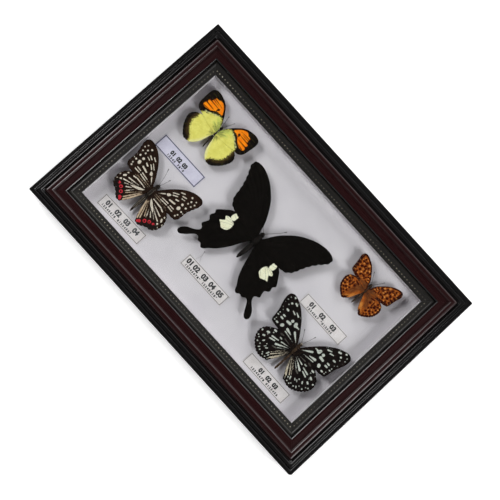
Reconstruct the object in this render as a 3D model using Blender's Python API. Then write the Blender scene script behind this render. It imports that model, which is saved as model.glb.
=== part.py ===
"""Framed butterfly specimen: five set butterflies in a glazed shadow-box frame that lies on its back.

The origin is the centre of the rear rim, which the frame rests on.  X runs along the frame's
long side, Y up the picture (towards the butterflies' heads) and Z out of the glass.  Sizes
below are in millimetres; every mesh is turned into metres as it is made.
"""

import math

import bmesh
import bpy
from mathutils import Matrix, Vector
from mathutils.geometry import interpolate_bezier

MM = 0.001

# Outer frame
FRAME_WIDTH = 382.0
FRAME_HEIGHT = 252.0
FRAME_DEPTH = 30.0
GAP = 0.3                # clearance between neighbouring pieces
MITRE_GAP = 0.21         # half the clearance of a mitre, along the length
RABBET_INSET = 20.0      # outer edge to the rabbet's wall
LIP_INSET = 26.6         # outer edge to the moulding's inner edge
LIP_UNDERSIDE = 22.0
SIGHT_INSET = 36.4       # outer edge to the edge of the visible opening

# Stack behind the lip, as (low z, high z)
SLIP_FLANGE = (20.8, 21.7)
GLASS = (18.5, 20.5)
SPACER = (9.8, 18.2)
MOUNT_BOARD = (6.5, 9.5)
BACKING = (3.5, 6.2)
SPACER_THICKNESS = 16.0

# Hardware in the recess behind the backing board
TAB_SIZE = (9.0, 14.0, 0.5)
TAB_Z = 2.7
TAB_DEPTH_IN_RAIL = 5.5
LONG_SIDE_TABS = (-95.0, 95.0)
SHORT_SIDE_TABS = (-48.0, 48.0)
HANGER_SIZE = (46.0, 9.0, 0.8)
HANGER_Z = 2.4
HANGER_Y = 94.0
HANGER_TEETH = 9
SCREW_SPACING = 36.0
SCREW_HEAD_RADIUS = 2.6
SCREW_HEAD_HEIGHT = 1.1
SCREW_SHANK_RADIUS = 0.8
SCREW_SHANK_LENGTH = 3.4

# Butterflies and labels
WING_THICKNESS = 0.5
FORE_STEP = 0.4          # how far the forewing's underside lies above the hindwing's
BODY_SIDES = 12
OUTLINE_STEPS = 2        # straight pieces between two points of a wing's outline
LABEL_THICKNESS = 0.25
LABEL_Z = MOUNT_BOARD[1] + GAP


# ---------------------------------------------------------------- scene and materials

def clear_scene():
    for thing in list(bpy.data.objects):
        bpy.data.objects.remove(thing, do_unlink=True)


def make_material(name, color, roughness, metallic=0.0, alpha=1.0):
    material = bpy.data.materials.new(name)
    material.use_nodes = True
    shader = material.node_tree.nodes["Principled BSDF"]
    shader.inputs["Base Color"].default_value = (*color, 1.0)
    shader.inputs["Roughness"].default_value = roughness
    shader.inputs["Metallic"].default_value = metallic
    shader.inputs["Alpha"].default_value = alpha
    return material


def make_materials():
    return {
        "moulding": make_material("moulding", (0.030, 0.006, 0.006), 0.35),
        "slip": make_material("slip", (0.022, 0.021, 0.020), 0.45),
        "glass": make_material("glass", (0.95, 0.97, 0.96), 0.05, alpha=0.2),
        "foam_board": make_material("foam_board", (0.72, 0.70, 0.71), 0.9),
        "fibreboard": make_material("fibreboard", (0.23, 0.13, 0.07), 0.85),
        "steel": make_material("steel", (0.55, 0.55, 0.56), 0.35, metallic=1.0),
        "label_paper": make_material("label_paper", (0.68, 0.65, 0.60), 0.9),
        "orange_tip": make_material("orange_tip", (0.75, 0.70, 0.16), 0.8),
        "swallowtail": make_material("swallowtail", (0.008, 0.006, 0.006), 0.8),
        "fritillary": make_material("fritillary", (0.48, 0.16, 0.03), 0.8),
        "red_ring": make_material("red_ring", (0.05, 0.03, 0.02), 0.8),
        "blue_tiger": make_material("blue_tiger", (0.03, 0.03, 0.03), 0.8),
    }


# ---------------------------------------------------------------- mesh helpers

def add_object(name, bm, material, smooth_angle=None):
    """Turns a bmesh in millimetres into an object in metres with outward faces."""
    bmesh.ops.remove_doubles(bm, verts=bm.verts, dist=0.0001)
    bmesh.ops.recalc_face_normals(bm, faces=bm.faces)
    bmesh.ops.scale(bm, vec=(MM, MM, MM), verts=bm.verts)
    mesh = bpy.data.meshes.new(name)
    bm.to_mesh(mesh)
    bm.free()
    if smooth_angle is not None:
        mesh.shade_smooth()
        mesh.set_sharp_from_angle(angle=math.radians(smooth_angle))
    mesh.materials.append(material)
    thing = bpy.data.objects.new(name, mesh)
    bpy.context.scene.collection.objects.link(thing)
    return thing


def add_prism(bm, outline, low, high, place=None):
    """Extrudes a flat outline of (x, y) points from z = low to z = high."""
    bottom = [bm.verts.new((x, y, low)) for x, y in outline]
    top = [bm.verts.new((x, y, high)) for x, y in outline]
    count = len(outline)
    bm.faces.new(reversed(bottom))
    bm.faces.new(top)
    for i in range(count):
        j = (i + 1) % count
        bm.faces.new((bottom[i], bottom[j], top[j], top[i]))
    if place is not None:
        bmesh.ops.transform(bm, matrix=place, verts=bottom + top)


def add_box(bm, low, high, place=None):
    outline = [(low[0], low[1]), (high[0], low[1]), (high[0], high[1]), (low[0], high[1])]
    add_prism(bm, outline, low[2], high[2], place)


def add_tube(bm, stations, sides):
    """Lofts rings along y.  A station is (y, x centre, z centre, half-width, half-height)."""
    rings = []
    for y, x_mid, z_mid, half_width, half_height in stations:
        ring = []
        for i in range(sides):
            angle = 2 * math.pi * i / sides
            x = x_mid + half_width * math.cos(angle)
            z = z_mid + half_height * math.sin(angle)
            ring.append(bm.verts.new((x, y, z)))
        rings.append(ring)
    for near, far in zip(rings, rings[1:]):
        for i in range(sides):
            j = (i + 1) % sides
            bm.faces.new((near[i], near[j], far[j], far[i]))
    bm.faces.new(rings[0])
    bm.faces.new(reversed(rings[-1]))


def boolean(target, tool, operation):
    """Applies an exact boolean to target and removes the tool."""
    modifier = target.modifiers.new(operation.lower(), "BOOLEAN")
    modifier.operation = operation
    modifier.solver = "EXACT"
    modifier.object = tool
    bpy.context.view_layer.update()
    evaluated = target.evaluated_get(bpy.context.evaluated_depsgraph_get())
    mesh = bpy.data.meshes.new_from_object(evaluated)
    target.modifiers.clear()
    target.data = mesh
    bpy.data.objects.remove(tool, do_unlink=True)


def ellipse_arc(center, radii, start, end, steps):
    """Points on an ellipse from start to end, in degrees."""
    points = []
    for i in range(steps + 1):
        angle = math.radians(start + (end - start) * i / steps)
        points.append((center[0] + radii[0] * math.cos(angle), center[1] + radii[1] * math.sin(angle)))
    return points


def smooth_loop(points, steps):
    """A closed curve through the points, cut into steps straight pieces between each two."""
    count = len(points)
    vectors = [Vector((x, y, 0.0)) for x, y in points]
    curve = []
    for i in range(count):
        before, here, after, beyond = (vectors[(i + k) % count] for k in (-1, 0, 1, 2))
        handle_out = here + (after - before) / 6
        handle_in = after - (beyond - here) / 6
        curve += interpolate_bezier(here, handle_out, handle_in, after, steps + 1)[:-1]
    return [(point.x, point.y) for point in curve]


# ---------------------------------------------------------------- frame

# The moulding's raised parts, as (inset from the outer edge, z)
OUTER_BEAD = [(0.0, 25.9), (0.06, 26.5), (0.22, 26.8), (0.6, 26.92), (1.6, 26.98), (2.6, 27.0),
              (3.6, 26.94), (4.15, 26.65), (4.5, 26.1), (4.75, 25.2), (5.0, 24.4), (5.2, 24.1)]
SECOND_BEAD = [(5.5, 24.4), (5.56, 26.8), (5.62, 27.5), (5.78, 27.76), (6.1, 27.83), (6.8, 27.88),
               (7.5, 27.9), (8.3, 27.78), (8.9, 27.3), (9.3, 26.5), (9.5, 25.6), (10.1, 25.1), (10.9, 25.2)]
RIDGE = [(11.5, 25.8), (11.65, 27.8), (11.9, 28.75), (12.25, 29.35), (12.75, 29.7), (13.4, 29.86),
         (14.2, 29.96), (15.0, 30.0), (15.9, 29.9), (16.85, 29.4), (17.55, 28.45), (17.9, 27.5)]
PANEL = [(18.15, 27.22), (18.5, 27.2), (20.0, 27.28), (22.0, 27.42)]


def moulding_profile():
    """Section of the moulding as (inset from the outer edge, z), from the rear outer corner."""
    profile = [(0.0, 0.0)] + OUTER_BEAD + SECOND_BEAD + RIDGE + PANEL
    profile += ellipse_arc((24.6, 25.7), (2.0, 1.9), 85, 0, 7)
    profile += [(LIP_INSET, LIP_UNDERSIDE), (RABBET_INSET, LIP_UNDERSIDE), (RABBET_INSET, 0.0)]
    return profile


def slip_profile():
    """Section of the inner slip: a flange under the lip, a raised edge and a slope to the sight edge."""
    flange_inset = RABBET_INSET + GAP
    raised_edge = ellipse_arc((28.2, 24.35), (1.2, 0.55), 180, 0, 8)
    sight_edge = ellipse_arc((SIGHT_INSET - 0.5, 21.75), (0.5, 0.45), 80, 0, 4)
    profile = [(flange_inset, SLIP_FLANGE[0]), (flange_inset, SLIP_FLANGE[1])]
    profile += [(27.0, SLIP_FLANGE[1])]
    profile += raised_edge
    profile += [(29.6, 23.9), (30.4, 23.66), (31.4, 23.38), (34.4, 22.55), (35.4, 22.28)]
    profile += sight_edge
    profile += [(SIGHT_INSET, SLIP_FLANGE[0])]
    return profile


def side_point(side, along, inset, z):
    """A point on one side of the frame, from its place along that side and its inset."""
    half_width, half_height = FRAME_WIDTH / 2, FRAME_HEIGHT / 2
    if side == "top":
        return (along, half_height - inset, z)
    if side == "bottom":
        return (-along, -half_height + inset, z)
    if side == "left":
        return (-half_width + inset, along, z)
    return (half_width - inset, -along, z)


def add_mitred_length(name, side, profile, material):
    """One side of the frame: the profile run along it and cut at 45 degrees at both ends."""
    side_half = (FRAME_WIDTH if side in ("top", "bottom") else FRAME_HEIGHT) / 2
    bm = bmesh.new()
    ends = []
    for sign in (-1, 1):
        ring = []
        for inset, z in profile:
            along = sign * (side_half - inset - MITRE_GAP)
            ring.append(bm.verts.new(side_point(side, along, inset, z)))
        ends.append(ring)
    near, far = ends
    bm.faces.new(near)
    bm.faces.new(reversed(far))
    for i in range(len(profile)):
        j = (i + 1) % len(profile)
        bm.faces.new((near[j], near[i], far[i], far[j]))
    return add_object(name, bm, material, smooth_angle=32)


def tab_places():
    """Where the retaining tabs sit, as (side, place along that side)."""
    places = [(side, along) for side in ("top", "bottom") for along in LONG_SIDE_TABS]
    places += [(side, along) for side in ("left", "right") for along in SHORT_SIDE_TABS]
    return places


def tab_matrix(side, along):
    """Tab space has y pointing into the rail, with y = 0 at the rabbet's wall."""
    turn = {"top": 0.0, "left": 90.0, "bottom": 180.0, "right": 270.0}[side]
    origin = side_point(side, along, RABBET_INSET, 0.0)
    return Matrix.Translation(origin) @ Matrix.Rotation(math.radians(turn), 4, "Z")


def cut_tab_slots(rails):
    """Saw slots in the rabbet's wall that the tabs are pushed into."""
    half_width = TAB_SIZE[0] / 2 + GAP
    for side, along in tab_places():
        bm = bmesh.new()
        low = (-half_width, -1.0, TAB_Z - GAP)
        high = (half_width, TAB_DEPTH_IN_RAIL + GAP, TAB_Z + TAB_SIZE[2] + GAP)
        add_box(bm, low, high, tab_matrix(side, along))
        cutter = add_object("slot_cutter", bm, rails[side].data.materials[0])
        boolean(rails[side], cutter, "DIFFERENCE")


def build_frame(materials):
    rails = {}
    for side in ("top", "bottom", "left", "right"):
        rails[side] = add_mitred_length("rail_" + side, side, moulding_profile(), materials["moulding"])
    cut_tab_slots(rails)
    for side in ("top", "bottom", "left", "right"):
        add_mitred_length("slip_" + side, side, slip_profile(), materials["slip"])


# ---------------------------------------------------------------- sheets behind the lip

def add_sheet(name, z_range, material):
    half_width = FRAME_WIDTH / 2 - RABBET_INSET - GAP
    half_height = FRAME_HEIGHT / 2 - RABBET_INSET - GAP
    bm = bmesh.new()
    add_box(bm, (-half_width, -half_height, z_range[0]), (half_width, half_height, z_range[1]))
    return add_object(name, bm, material)


def build_spacers(material):
    """Four strips of foam board: the long ones run the full width, the short ones between them."""
    outer_x = FRAME_WIDTH / 2 - RABBET_INSET - GAP
    outer_y = FRAME_HEIGHT / 2 - RABBET_INSET - GAP
    inner_x = outer_x - SPACER_THICKNESS
    inner_y = outer_y - SPACER_THICKNESS
    short_y = inner_y - GAP
    boxes = {
        "spacer_top": (-outer_x, outer_x, inner_y, outer_y),
        "spacer_bottom": (-outer_x, outer_x, -outer_y, -inner_y),
        "spacer_left": (-outer_x, -inner_x, -short_y, short_y),
        "spacer_right": (inner_x, outer_x, -short_y, short_y),
    }
    for name, (x_low, x_high, y_low, y_high) in boxes.items():
        bm = bmesh.new()
        add_box(bm, (x_low, y_low, SPACER[0]), (x_high, y_high, SPACER[1]))
        add_object(name, bm, material)


# ---------------------------------------------------------------- hardware

def build_tabs(material):
    """Flat steel points: the narrow end is pushed into the rail, the square end holds the backing."""
    half = TAB_SIZE[0] / 2
    point = half * 0.45
    outer = TAB_DEPTH_IN_RAIL
    inner = outer - TAB_SIZE[1]
    outline = [(-half, inner + 1.0), (-half + 1.0, inner), (half - 1.0, inner), (half, inner + 1.0),
               (half, outer - 2.5), (point, outer), (-point, outer), (-half, outer - 2.5)]
    for number, (side, along) in enumerate(tab_places(), start=1):
        bm = bmesh.new()
        add_prism(bm, outline, TAB_Z, TAB_Z + TAB_SIZE[2], tab_matrix(side, along))
        add_object(f"retaining_tab_{number}", bm, material)


def screw_positions():
    return {"left": -SCREW_SPACING / 2, "right": SCREW_SPACING / 2}


def add_cylinder(bm, center, radius, low, high, sides):
    outline = ellipse_arc(center, (radius, radius), 0, 360, sides)[:-1]
    add_prism(bm, outline, low, high)


def drill_screw_holes(target, low, high):
    radius = SCREW_SHANK_RADIUS + GAP
    for x in screw_positions().values():
        bm = bmesh.new()
        add_cylinder(bm, (x, HANGER_Y), radius, low, high, 16)
        boolean(target, add_object("hole_cutter", bm, target.data.materials[0]), "DIFFERENCE")


def build_hanger(material, backing):
    """A sawtooth hanger and its two screws on the backing board, near the top of the picture."""
    half_x, half_y = HANGER_SIZE[0] / 2, HANGER_SIZE[1] / 2
    teeth_half = 12.0
    pitch = 2 * teeth_half / HANGER_TEETH
    outline = ellipse_arc((-half_x + 3, half_y - 3), (3, 3), 180, 90, 4)
    outline += ellipse_arc((half_x - 3, half_y - 3), (3, 3), 90, 0, 4)
    outline += [(half_x, -half_y), (teeth_half, -half_y)]
    for i in range(HANGER_TEETH):
        right = teeth_half - i * pitch
        outline += [(right - pitch / 2, -half_y + 1.8), (right - pitch, -half_y)]
    outline += [(-half_x, -half_y)]
    bm = bmesh.new()
    add_prism(bm, outline, HANGER_Z, HANGER_Z + HANGER_SIZE[2], Matrix.Translation((0, HANGER_Y, 0)))
    plate = add_object("hanger_plate", bm, material)
    drill_screw_holes(plate, HANGER_Z - 1, HANGER_Z + HANGER_SIZE[2] + 1)

    shank_top = HANGER_Z - GAP + SCREW_SHANK_LENGTH
    drill_screw_holes(backing, BACKING[0] - 1, shank_top + GAP)
    for side, x in screw_positions().items():
        add_screw("hanger_screw_" + side, x, shank_top, material)


def add_screw(name, x, shank_top, material):
    """A turned screw: a domed head below the plate and a plain shank up into the board."""
    head_top = HANGER_Z - GAP
    head_low = head_top - SCREW_HEAD_HEIGHT
    dome = ellipse_arc((0.0, head_top - 0.3), (SCREW_HEAD_RADIUS, SCREW_HEAD_HEIGHT - 0.3), 0, -75, 5)
    profile = [(SCREW_SHANK_RADIUS, shank_top), (SCREW_SHANK_RADIUS, head_top)]
    profile += [(SCREW_HEAD_RADIUS, head_top)]
    profile += dome
    sides = 20
    bm = bmesh.new()
    rings = []
    for radius, z in profile:
        circle = ellipse_arc((x, HANGER_Y), (radius, radius), 0, 360, sides)[:-1]
        rings.append([bm.verts.new((px, py, z)) for px, py in circle])
    for upper, lower in zip(rings, rings[1:]):
        for i in range(sides):
            j = (i + 1) % sides
            bm.faces.new((upper[i], upper[j], lower[j], lower[i]))
    bm.faces.new(rings[0])
    bottom = bm.verts.new((x, HANGER_Y, head_low))
    for i in range(sides):
        bm.faces.new((rings[-1][i], rings[-1][(i + 1) % sides], bottom))
    add_object(name, bm, material, smooth_angle=40)


# ---------------------------------------------------------------- butterflies

# Each wing's outline is given for the right-hand wing, in millimetres from the middle of the
# thorax: x out from the body, y towards the head.  It starts and ends at the wing's root.
# "turn" is how far the (left forewing, left hindwing) is raised past a mirror image.
# "body" holds stations from the head back: (y, x centre, half-width, half-height).

BUTTERFLIES = {
    "orange_tip": {
        "center": (-111.0, 52.0), "lift": 4.0, "dihedral": 4.0, "turn": (5.5, 0.5),
        "fore": [(1.0, 2.5), (3.0, 8.0), (5.3, 12.0), (9.5, 17.2), (15.0, 22.5), (20.0, 25.3),
                 (25.0, 26.5), (30.0, 26.8), (34.3, 25.6), (36.6, 22.5), (36.8, 17.0), (36.0, 11.0),
                 (35.4, 6.5), (33.8, 2.6), (30.5, 0.2), (26.0, -0.3), (15.0, -2.0), (1.0, -2.5)],
        "hind": [(1.0, 0.0), (12.0, 2.0), (21.0, 1.6), (27.5, -0.8), (30.3, -3.2), (32.2, -6.3),
                 (32.6, -9.5), (31.8, -13.0), (30.0, -17.0), (27.5, -21.0), (24.5, -24.2),
                 (21.5, -27.0), (18.5, -28.5), (14.5, -28.3), (10.8, -26.8), (7.5, -23.2),
                 (5.0, -18.5), (3.4, -13.0), (2.3, -8.0), (1.0, -4.0)],
        "body": [(8.3, 0.0, 0.4, 0.4), (7.6, 0.0, 1.1, 1.1), (6.2, 0.0, 1.3, 1.3), (5.2, 0.0, 1.0, 1.2),
                 (3.6, 0.0, 1.7, 2.1), (0.0, 0.0, 2.0, 2.4), (-3.6, 0.0, 1.6, 2.0), (-5.4, 0.0, 0.9, 1.1),
                 (-8.5, 0.0, 1.1, 1.2), (-14.0, 0.2, 0.9, 1.0), (-19.0, 0.9, 0.6, 0.6), (-20.3, 1.2, 0.2, 0.2)],
    },
    "swallowtail": {
        "center": (-3.0, 8.0), "lift": 5.2, "dihedral": 1.4, "turn": (9.0, 9.3),
        "fore": [(1.5, 2.0), (4.8, 7.5), (9.0, 15.5), (14.2, 22.8), (24.0, 33.0), (34.0, 39.7),
                 (44.0, 44.2), (54.0, 46.4), (60.5, 46.2), (65.3, 44.5), (67.3, 41.5), (66.6, 37.5),
                 (64.0, 33.7), (60.0, 28.5), (55.5, 21.2), (52.2, 14.0), (50.0, 7.5), (48.0, 3.8),
                 (45.0, 0.4), (41.0, -1.7), (36.0, -2.2), (20.0, -3.0), (1.5, -3.0)],
        "hind": [(1.5, 0.0), (15.0, 3.0), (30.0, 2.0), (37.0, -3.2), (40.0, -5.8), (43.3, -10.2),
                 (46.2, -14.2), (48.0, -17.8), (46.0, -20.4), (47.0, -25.6), (43.2, -29.0), (43.8, -33.0),
                 (44.6, -37.0), (40.6, -39.6), (40.5, -43.0), (44.0, -47.2), (48.8, -51.0), (52.0, -55.5),
                 (52.9, -59.5), (51.0, -62.0), (47.6, -61.4), (44.0, -57.0), (40.8, -51.8), (38.3, -48.4),
                 (35.2, -47.6), (32.0, -49.8), (28.4, -49.2), (25.0, -51.4), (22.0, -49.6), (19.8, -45.5),
                 (14.8, -38.5), (11.5, -31.5), (8.8, -24.5), (6.4, -16.0), (4.0, -9.0), (1.5, -4.0)],
        "body": [(10.6, 0.0, 0.8, 0.8), (9.8, 0.0, 1.8, 1.6), (7.8, 0.0, 2.2, 1.9), (6.4, 0.0, 1.8, 1.8),
                 (4.4, 0.0, 3.2, 3.0), (0.0, 0.0, 3.7, 3.4), (-4.5, 0.0, 3.0, 2.9), (-6.5, 0.0, 2.3, 2.3),
                 (-11.0, -0.2, 2.8, 2.4), (-17.0, -0.4, 2.6, 2.2), (-23.0, -0.8, 1.8, 1.6), (-26.4, -1.0, 0.6, 0.6)],
    },
    "fritillary": {
        "center": (109.3, 57.0), "lift": 4.2, "dihedral": 4.0, "turn": (0.0, -1.0),
        "fore": [(1.0, 2.0), (2.8, 6.0), (4.3, 10.0), (8.0, 14.2), (12.0, 18.5), (16.0, 21.5),
                 (20.0, 23.5), (24.5, 24.9), (27.6, 24.4), (29.4, 22.0), (29.5, 19.0), (28.4, 15.0),
                 (27.8, 11.0), (27.2, 7.0), (26.5, 4.2), (25.0, 2.8), (20.0, 1.4), (12.0, 0.0), (1.0, -1.5)],
        "hind": [(1.0, 0.0), (10.0, 2.0), (18.0, 1.5), (22.5, -0.8), (24.7, -3.8), (25.4, -7.5),
                 (24.7, -11.5), (23.4, -15.0), (21.0, -18.0), (18.3, -20.5), (15.8, -22.3), (13.8, -23.3),
                 (12.0, -23.6), (9.8, -21.8), (7.0, -18.8), (4.8, -14.5), (3.0, -10.0), (1.0, -5.0)],
        "body": [(8.2, 0.0, 0.5, 0.5), (7.5, 0.0, 1.3, 1.2), (6.0, 0.0, 1.5, 1.4), (4.9, 0.0, 1.2, 1.3),
                 (3.2, 0.0, 2.1, 2.2), (0.0, 0.0, 2.5, 2.5), (-3.4, 0.0, 2.0, 2.1), (-5.2, -0.2, 1.3, 1.4),
                 (-9.0, -0.5, 1.6, 1.6), (-14.0, -0.9, 1.3, 1.3), (-18.0, -1.1, 0.8, 0.8), (-19.4, -1.2, 0.3, 0.3)],
    },
    "red_ring": {
        "center": (-110.0, -37.0), "lift": 4.6, "dihedral": 3.5, "turn": (4.5, 7.5),
        "fore": [(1.5, 2.0), (4.5, 6.0), (7.0, 10.0), (11.0, 15.0), (16.0, 20.5), (21.0, 25.0),
                 (26.0, 28.2), (31.0, 30.4), (36.0, 31.4), (40.0, 31.3), (43.0, 29.6), (44.0, 26.5),
                 (43.5, 22.5), (41.3, 16.5), (39.7, 11.5), (39.2, 6.0), (38.9, 1.0), (37.0, -2.4),
                 (33.0, -3.6), (26.0, -3.4), (15.0, -3.0), (1.5, -3.0)],
        "hind": [(1.5, 0.0), (12.0, 1.5), (22.0, -1.0), (27.0, -4.4), (30.2, -7.8), (32.5, -12.0),
                 (33.3, -16.5), (32.8, -20.5), (31.0, -24.5), (27.5, -27.8), (23.5, -28.6), (20.0, -30.2),
                 (17.0, -32.5), (13.5, -33.2), (10.6, -32.2), (9.2, -29.5), (7.0, -25.0), (5.0, -19.0),
                 (3.4, -13.0), (1.5, -6.0)],
        "body": [(10.0, 0.5, 0.6, 0.6), (9.0, 0.5, 1.7, 1.4), (7.2, 0.5, 2.0, 1.6), (5.8, 0.4, 1.7, 1.6),
                 (3.6, 0.2, 2.9, 2.6), (-0.6, 0.0, 3.4, 2.9), (-5.0, 0.0, 2.8, 2.6), (-7.6, -0.2, 1.7, 1.8),
                 (-13.0, -0.3, 2.0, 2.0), (-20.0, -0.4, 1.8, 1.7), (-26.5, -0.4, 1.2, 1.1), (-29.6, -0.4, 0.4, 0.4)],
    },
    "blue_tiger": {
        "center": (104.5, -35.0), "lift": 4.6, "dihedral": 3.5, "turn": (0.5, 0.0),
        "fore": [(1.5, 1.0), (4.0, 5.2), (7.5, 10.3), (12.5, 16.3), (17.5, 21.8), (22.5, 26.0),
                 (27.5, 29.6), (32.5, 32.1), (37.5, 33.8), (41.5, 34.0), (44.8, 32.0), (45.9, 28.5),
                 (45.3, 23.5), (43.5, 18.0), (41.6, 13.0), (40.6, 8.0), (40.0, 3.5), (38.6, 0.2),
                 (35.0, -0.9), (28.0, -1.5), (15.0, -2.5), (1.5, -3.5)],
        "hind": [(1.5, -1.0), (15.0, 1.0), (25.0, -0.5), (30.5, -3.2), (35.5, -6.6), (38.4, -10.3),
                 (39.8, -15.0), (39.1, -19.3), (36.8, -24.0), (33.0, -28.0), (28.0, -31.3), (23.5, -32.8),
                 (19.0, -32.9), (15.0, -31.6), (12.0, -30.8), (10.6, -28.2), (8.0, -24.0), (5.4, -19.0),
                 (3.2, -14.0), (1.5, -7.0)],
        "body": [(7.2, 0.0, 0.6, 0.6), (6.4, 0.0, 1.5, 1.3), (4.8, 0.0, 1.8, 1.5), (3.5, 0.0, 1.5, 1.5),
                 (1.6, 0.0, 2.6, 2.5), (-2.0, 0.0, 3.1, 2.8), (-6.0, 0.0, 2.4, 2.4), (-8.6, 0.0, 1.3, 1.4),
                 (-14.0, 0.0, 1.3, 1.4), (-21.0, -0.1, 1.1, 1.2), (-28.0, -0.3, 1.2, 1.2), (-30.6, -0.3, 0.5, 0.5)],
    },
}


def add_wing(name, outline, side, turn, root_z, dihedral, material):
    """One wing as a flat plate that rises outwards from the body."""
    angle = math.radians(turn)
    points = []
    for x, y in smooth_loop(outline, OUTLINE_STEPS):
        turned_x = x * math.cos(angle) - y * math.sin(angle)
        turned_y = x * math.sin(angle) + y * math.cos(angle)
        points.append((side * turned_x, turned_y))
    if side < 0:
        points.reverse()
    slope = Matrix.Identity(4)
    slope[2][0] = side * math.tan(math.radians(dihedral))
    bm = bmesh.new()
    add_prism(bm, points, root_z, root_z + WING_THICKNESS, slope)
    return add_object(name, bm, material)


def build_butterfly(name, spec, material):
    """Body and four wings joined in one solid, glued by the thorax to the board."""
    deepest = max(half_height for _, _, _, half_height in spec["body"])
    body_z = deepest
    stations = [(y, x, body_z, width, height) for y, x, width, height in spec["body"]]
    bm = bmesh.new()
    add_tube(bm, stations, BODY_SIDES)
    butterfly = add_object("butterfly_" + name, bm, material)
    for side, turns in ((1, (0.0, 0.0)), (-1, spec["turn"])):
        hind_turn = turns[1]
        fore_turn = turns[0]
        hind = add_wing("hind", spec["hind"], side, hind_turn, spec["lift"], spec["dihedral"], material)
        boolean(butterfly, hind, "UNION")
        fore_z = spec["lift"] + FORE_STEP
        fore = add_wing("fore", spec["fore"], side, fore_turn, fore_z, spec["dihedral"], material)
        boolean(butterfly, fore, "UNION")
    x, y = spec["center"]
    butterfly.location = (x * MM, y * MM, (MOUNT_BOARD[1] + GAP) * MM)


# ---------------------------------------------------------------- labels

# name: (centre x, centre y, width, height, turn in degrees)
LABELS = {
    "orange_tip": (-114.6, 5.2, 59.0, 15.8, 0.0),
    "swallowtail": (-8.6, -57.3, 58.8, 14.0, 0.2),
    "fritillary": (101.5, 4.6, 59.2, 13.8, -0.3),
    "red_ring": (-109.8, -78.0, 58.4, 13.8, 1.3),
    "blue_tiger": (106.0, -78.0, 57.4, 13.8, -0.4),
}


def build_labels(material):
    for name, (x, y, width, height, turn) in LABELS.items():
        bm = bmesh.new()
        add_box(bm, (-width / 2, -height / 2, 0.0), (width / 2, height / 2, LABEL_THICKNESS))
        label = add_object("label_" + name, bm, material)
        label.location = (x * MM, y * MM, LABEL_Z * MM)
        label.rotation_euler = (0.0, 0.0, math.radians(turn))


def main():
    clear_scene()
    materials = make_materials()
    build_frame(materials)
    add_sheet("glass_pane", GLASS, materials["glass"])
    build_spacers(materials["foam_board"])
    add_sheet("mount_board", MOUNT_BOARD, materials["foam_board"])
    backing = add_sheet("backing_board", BACKING, materials["fibreboard"])
    build_tabs(materials["steel"])
    build_hanger(materials["steel"], backing)
    for name, spec in BUTTERFLIES.items():
        build_butterfly(name, spec, materials[name])
    build_labels(materials["label_paper"])


main()
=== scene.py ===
"""Looks of the framed butterfly specimen: five set butterflies in a glazed shadow-box frame.

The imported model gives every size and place.  Lengths here are in millimetres and are turned into
metres when a mesh is built.  X runs along the frame's long side, Y up the picture and Z out of the
glass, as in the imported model.
"""

import math

import bpy
import numpy as np
from mathutils import Matrix, Vector, noise
from mathutils.geometry import delaunay_2d_cdt


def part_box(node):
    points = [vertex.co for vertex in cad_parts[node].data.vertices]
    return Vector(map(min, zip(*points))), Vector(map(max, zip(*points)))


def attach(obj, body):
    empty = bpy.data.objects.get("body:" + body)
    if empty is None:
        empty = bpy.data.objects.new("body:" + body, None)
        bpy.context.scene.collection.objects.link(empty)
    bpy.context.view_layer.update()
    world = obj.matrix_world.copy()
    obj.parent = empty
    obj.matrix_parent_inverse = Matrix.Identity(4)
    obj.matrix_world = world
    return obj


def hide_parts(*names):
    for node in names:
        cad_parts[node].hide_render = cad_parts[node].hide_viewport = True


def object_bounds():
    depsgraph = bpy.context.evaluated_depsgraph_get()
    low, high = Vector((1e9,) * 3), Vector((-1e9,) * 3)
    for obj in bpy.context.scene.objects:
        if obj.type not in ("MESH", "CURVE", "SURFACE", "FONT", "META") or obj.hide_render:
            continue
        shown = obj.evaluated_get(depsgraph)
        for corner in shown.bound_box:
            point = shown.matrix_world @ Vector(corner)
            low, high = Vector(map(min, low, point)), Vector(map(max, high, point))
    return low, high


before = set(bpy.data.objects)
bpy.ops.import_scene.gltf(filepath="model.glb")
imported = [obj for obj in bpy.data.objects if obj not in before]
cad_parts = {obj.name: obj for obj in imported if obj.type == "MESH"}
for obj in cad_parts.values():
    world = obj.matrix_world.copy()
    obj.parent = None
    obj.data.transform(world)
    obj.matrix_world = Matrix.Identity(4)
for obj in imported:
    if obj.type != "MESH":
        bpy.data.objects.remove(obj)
cad_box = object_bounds()

MM = 0.001
TAU = 2 * math.pi
FAR = 9.0                # a distance, in mm, that stands for "nowhere near"
SIDES = ("top", "bottom", "left", "right")


def node_box(name):
    """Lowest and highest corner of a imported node, in millimetres."""
    low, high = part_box(name)
    return np.array(low) / MM, np.array(high) / MM


FRAME_LOW = np.array(cad_box[0]) / MM
FRAME_HIGH = np.array(cad_box[1]) / MM
HALF_WIDTH = (FRAME_HIGH[0] - FRAME_LOW[0]) / 2
HALF_HEIGHT = (FRAME_HIGH[1] - FRAME_LOW[1]) / 2
BOARD_TOP = node_box("mount_board")[1][2]
WING_BASE = node_box("butterfly_swallowtail")[0][2]     # underside of the glued bodies


# ---------------------------------------------------------------- meshes

def solid_noise(points, size, seed):
    """Smooth noise from about -1 to 1 at 2-D or 3-D points in mm, with lumps of about that size."""
    shift = Vector((seed * 17.3, seed * 5.1, seed * 9.7))
    flat = np.zeros((len(points), 3))
    flat[:, :points.shape[1]] = points / size
    return np.array([noise.noise(Vector(point) + shift) for point in flat])


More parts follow.
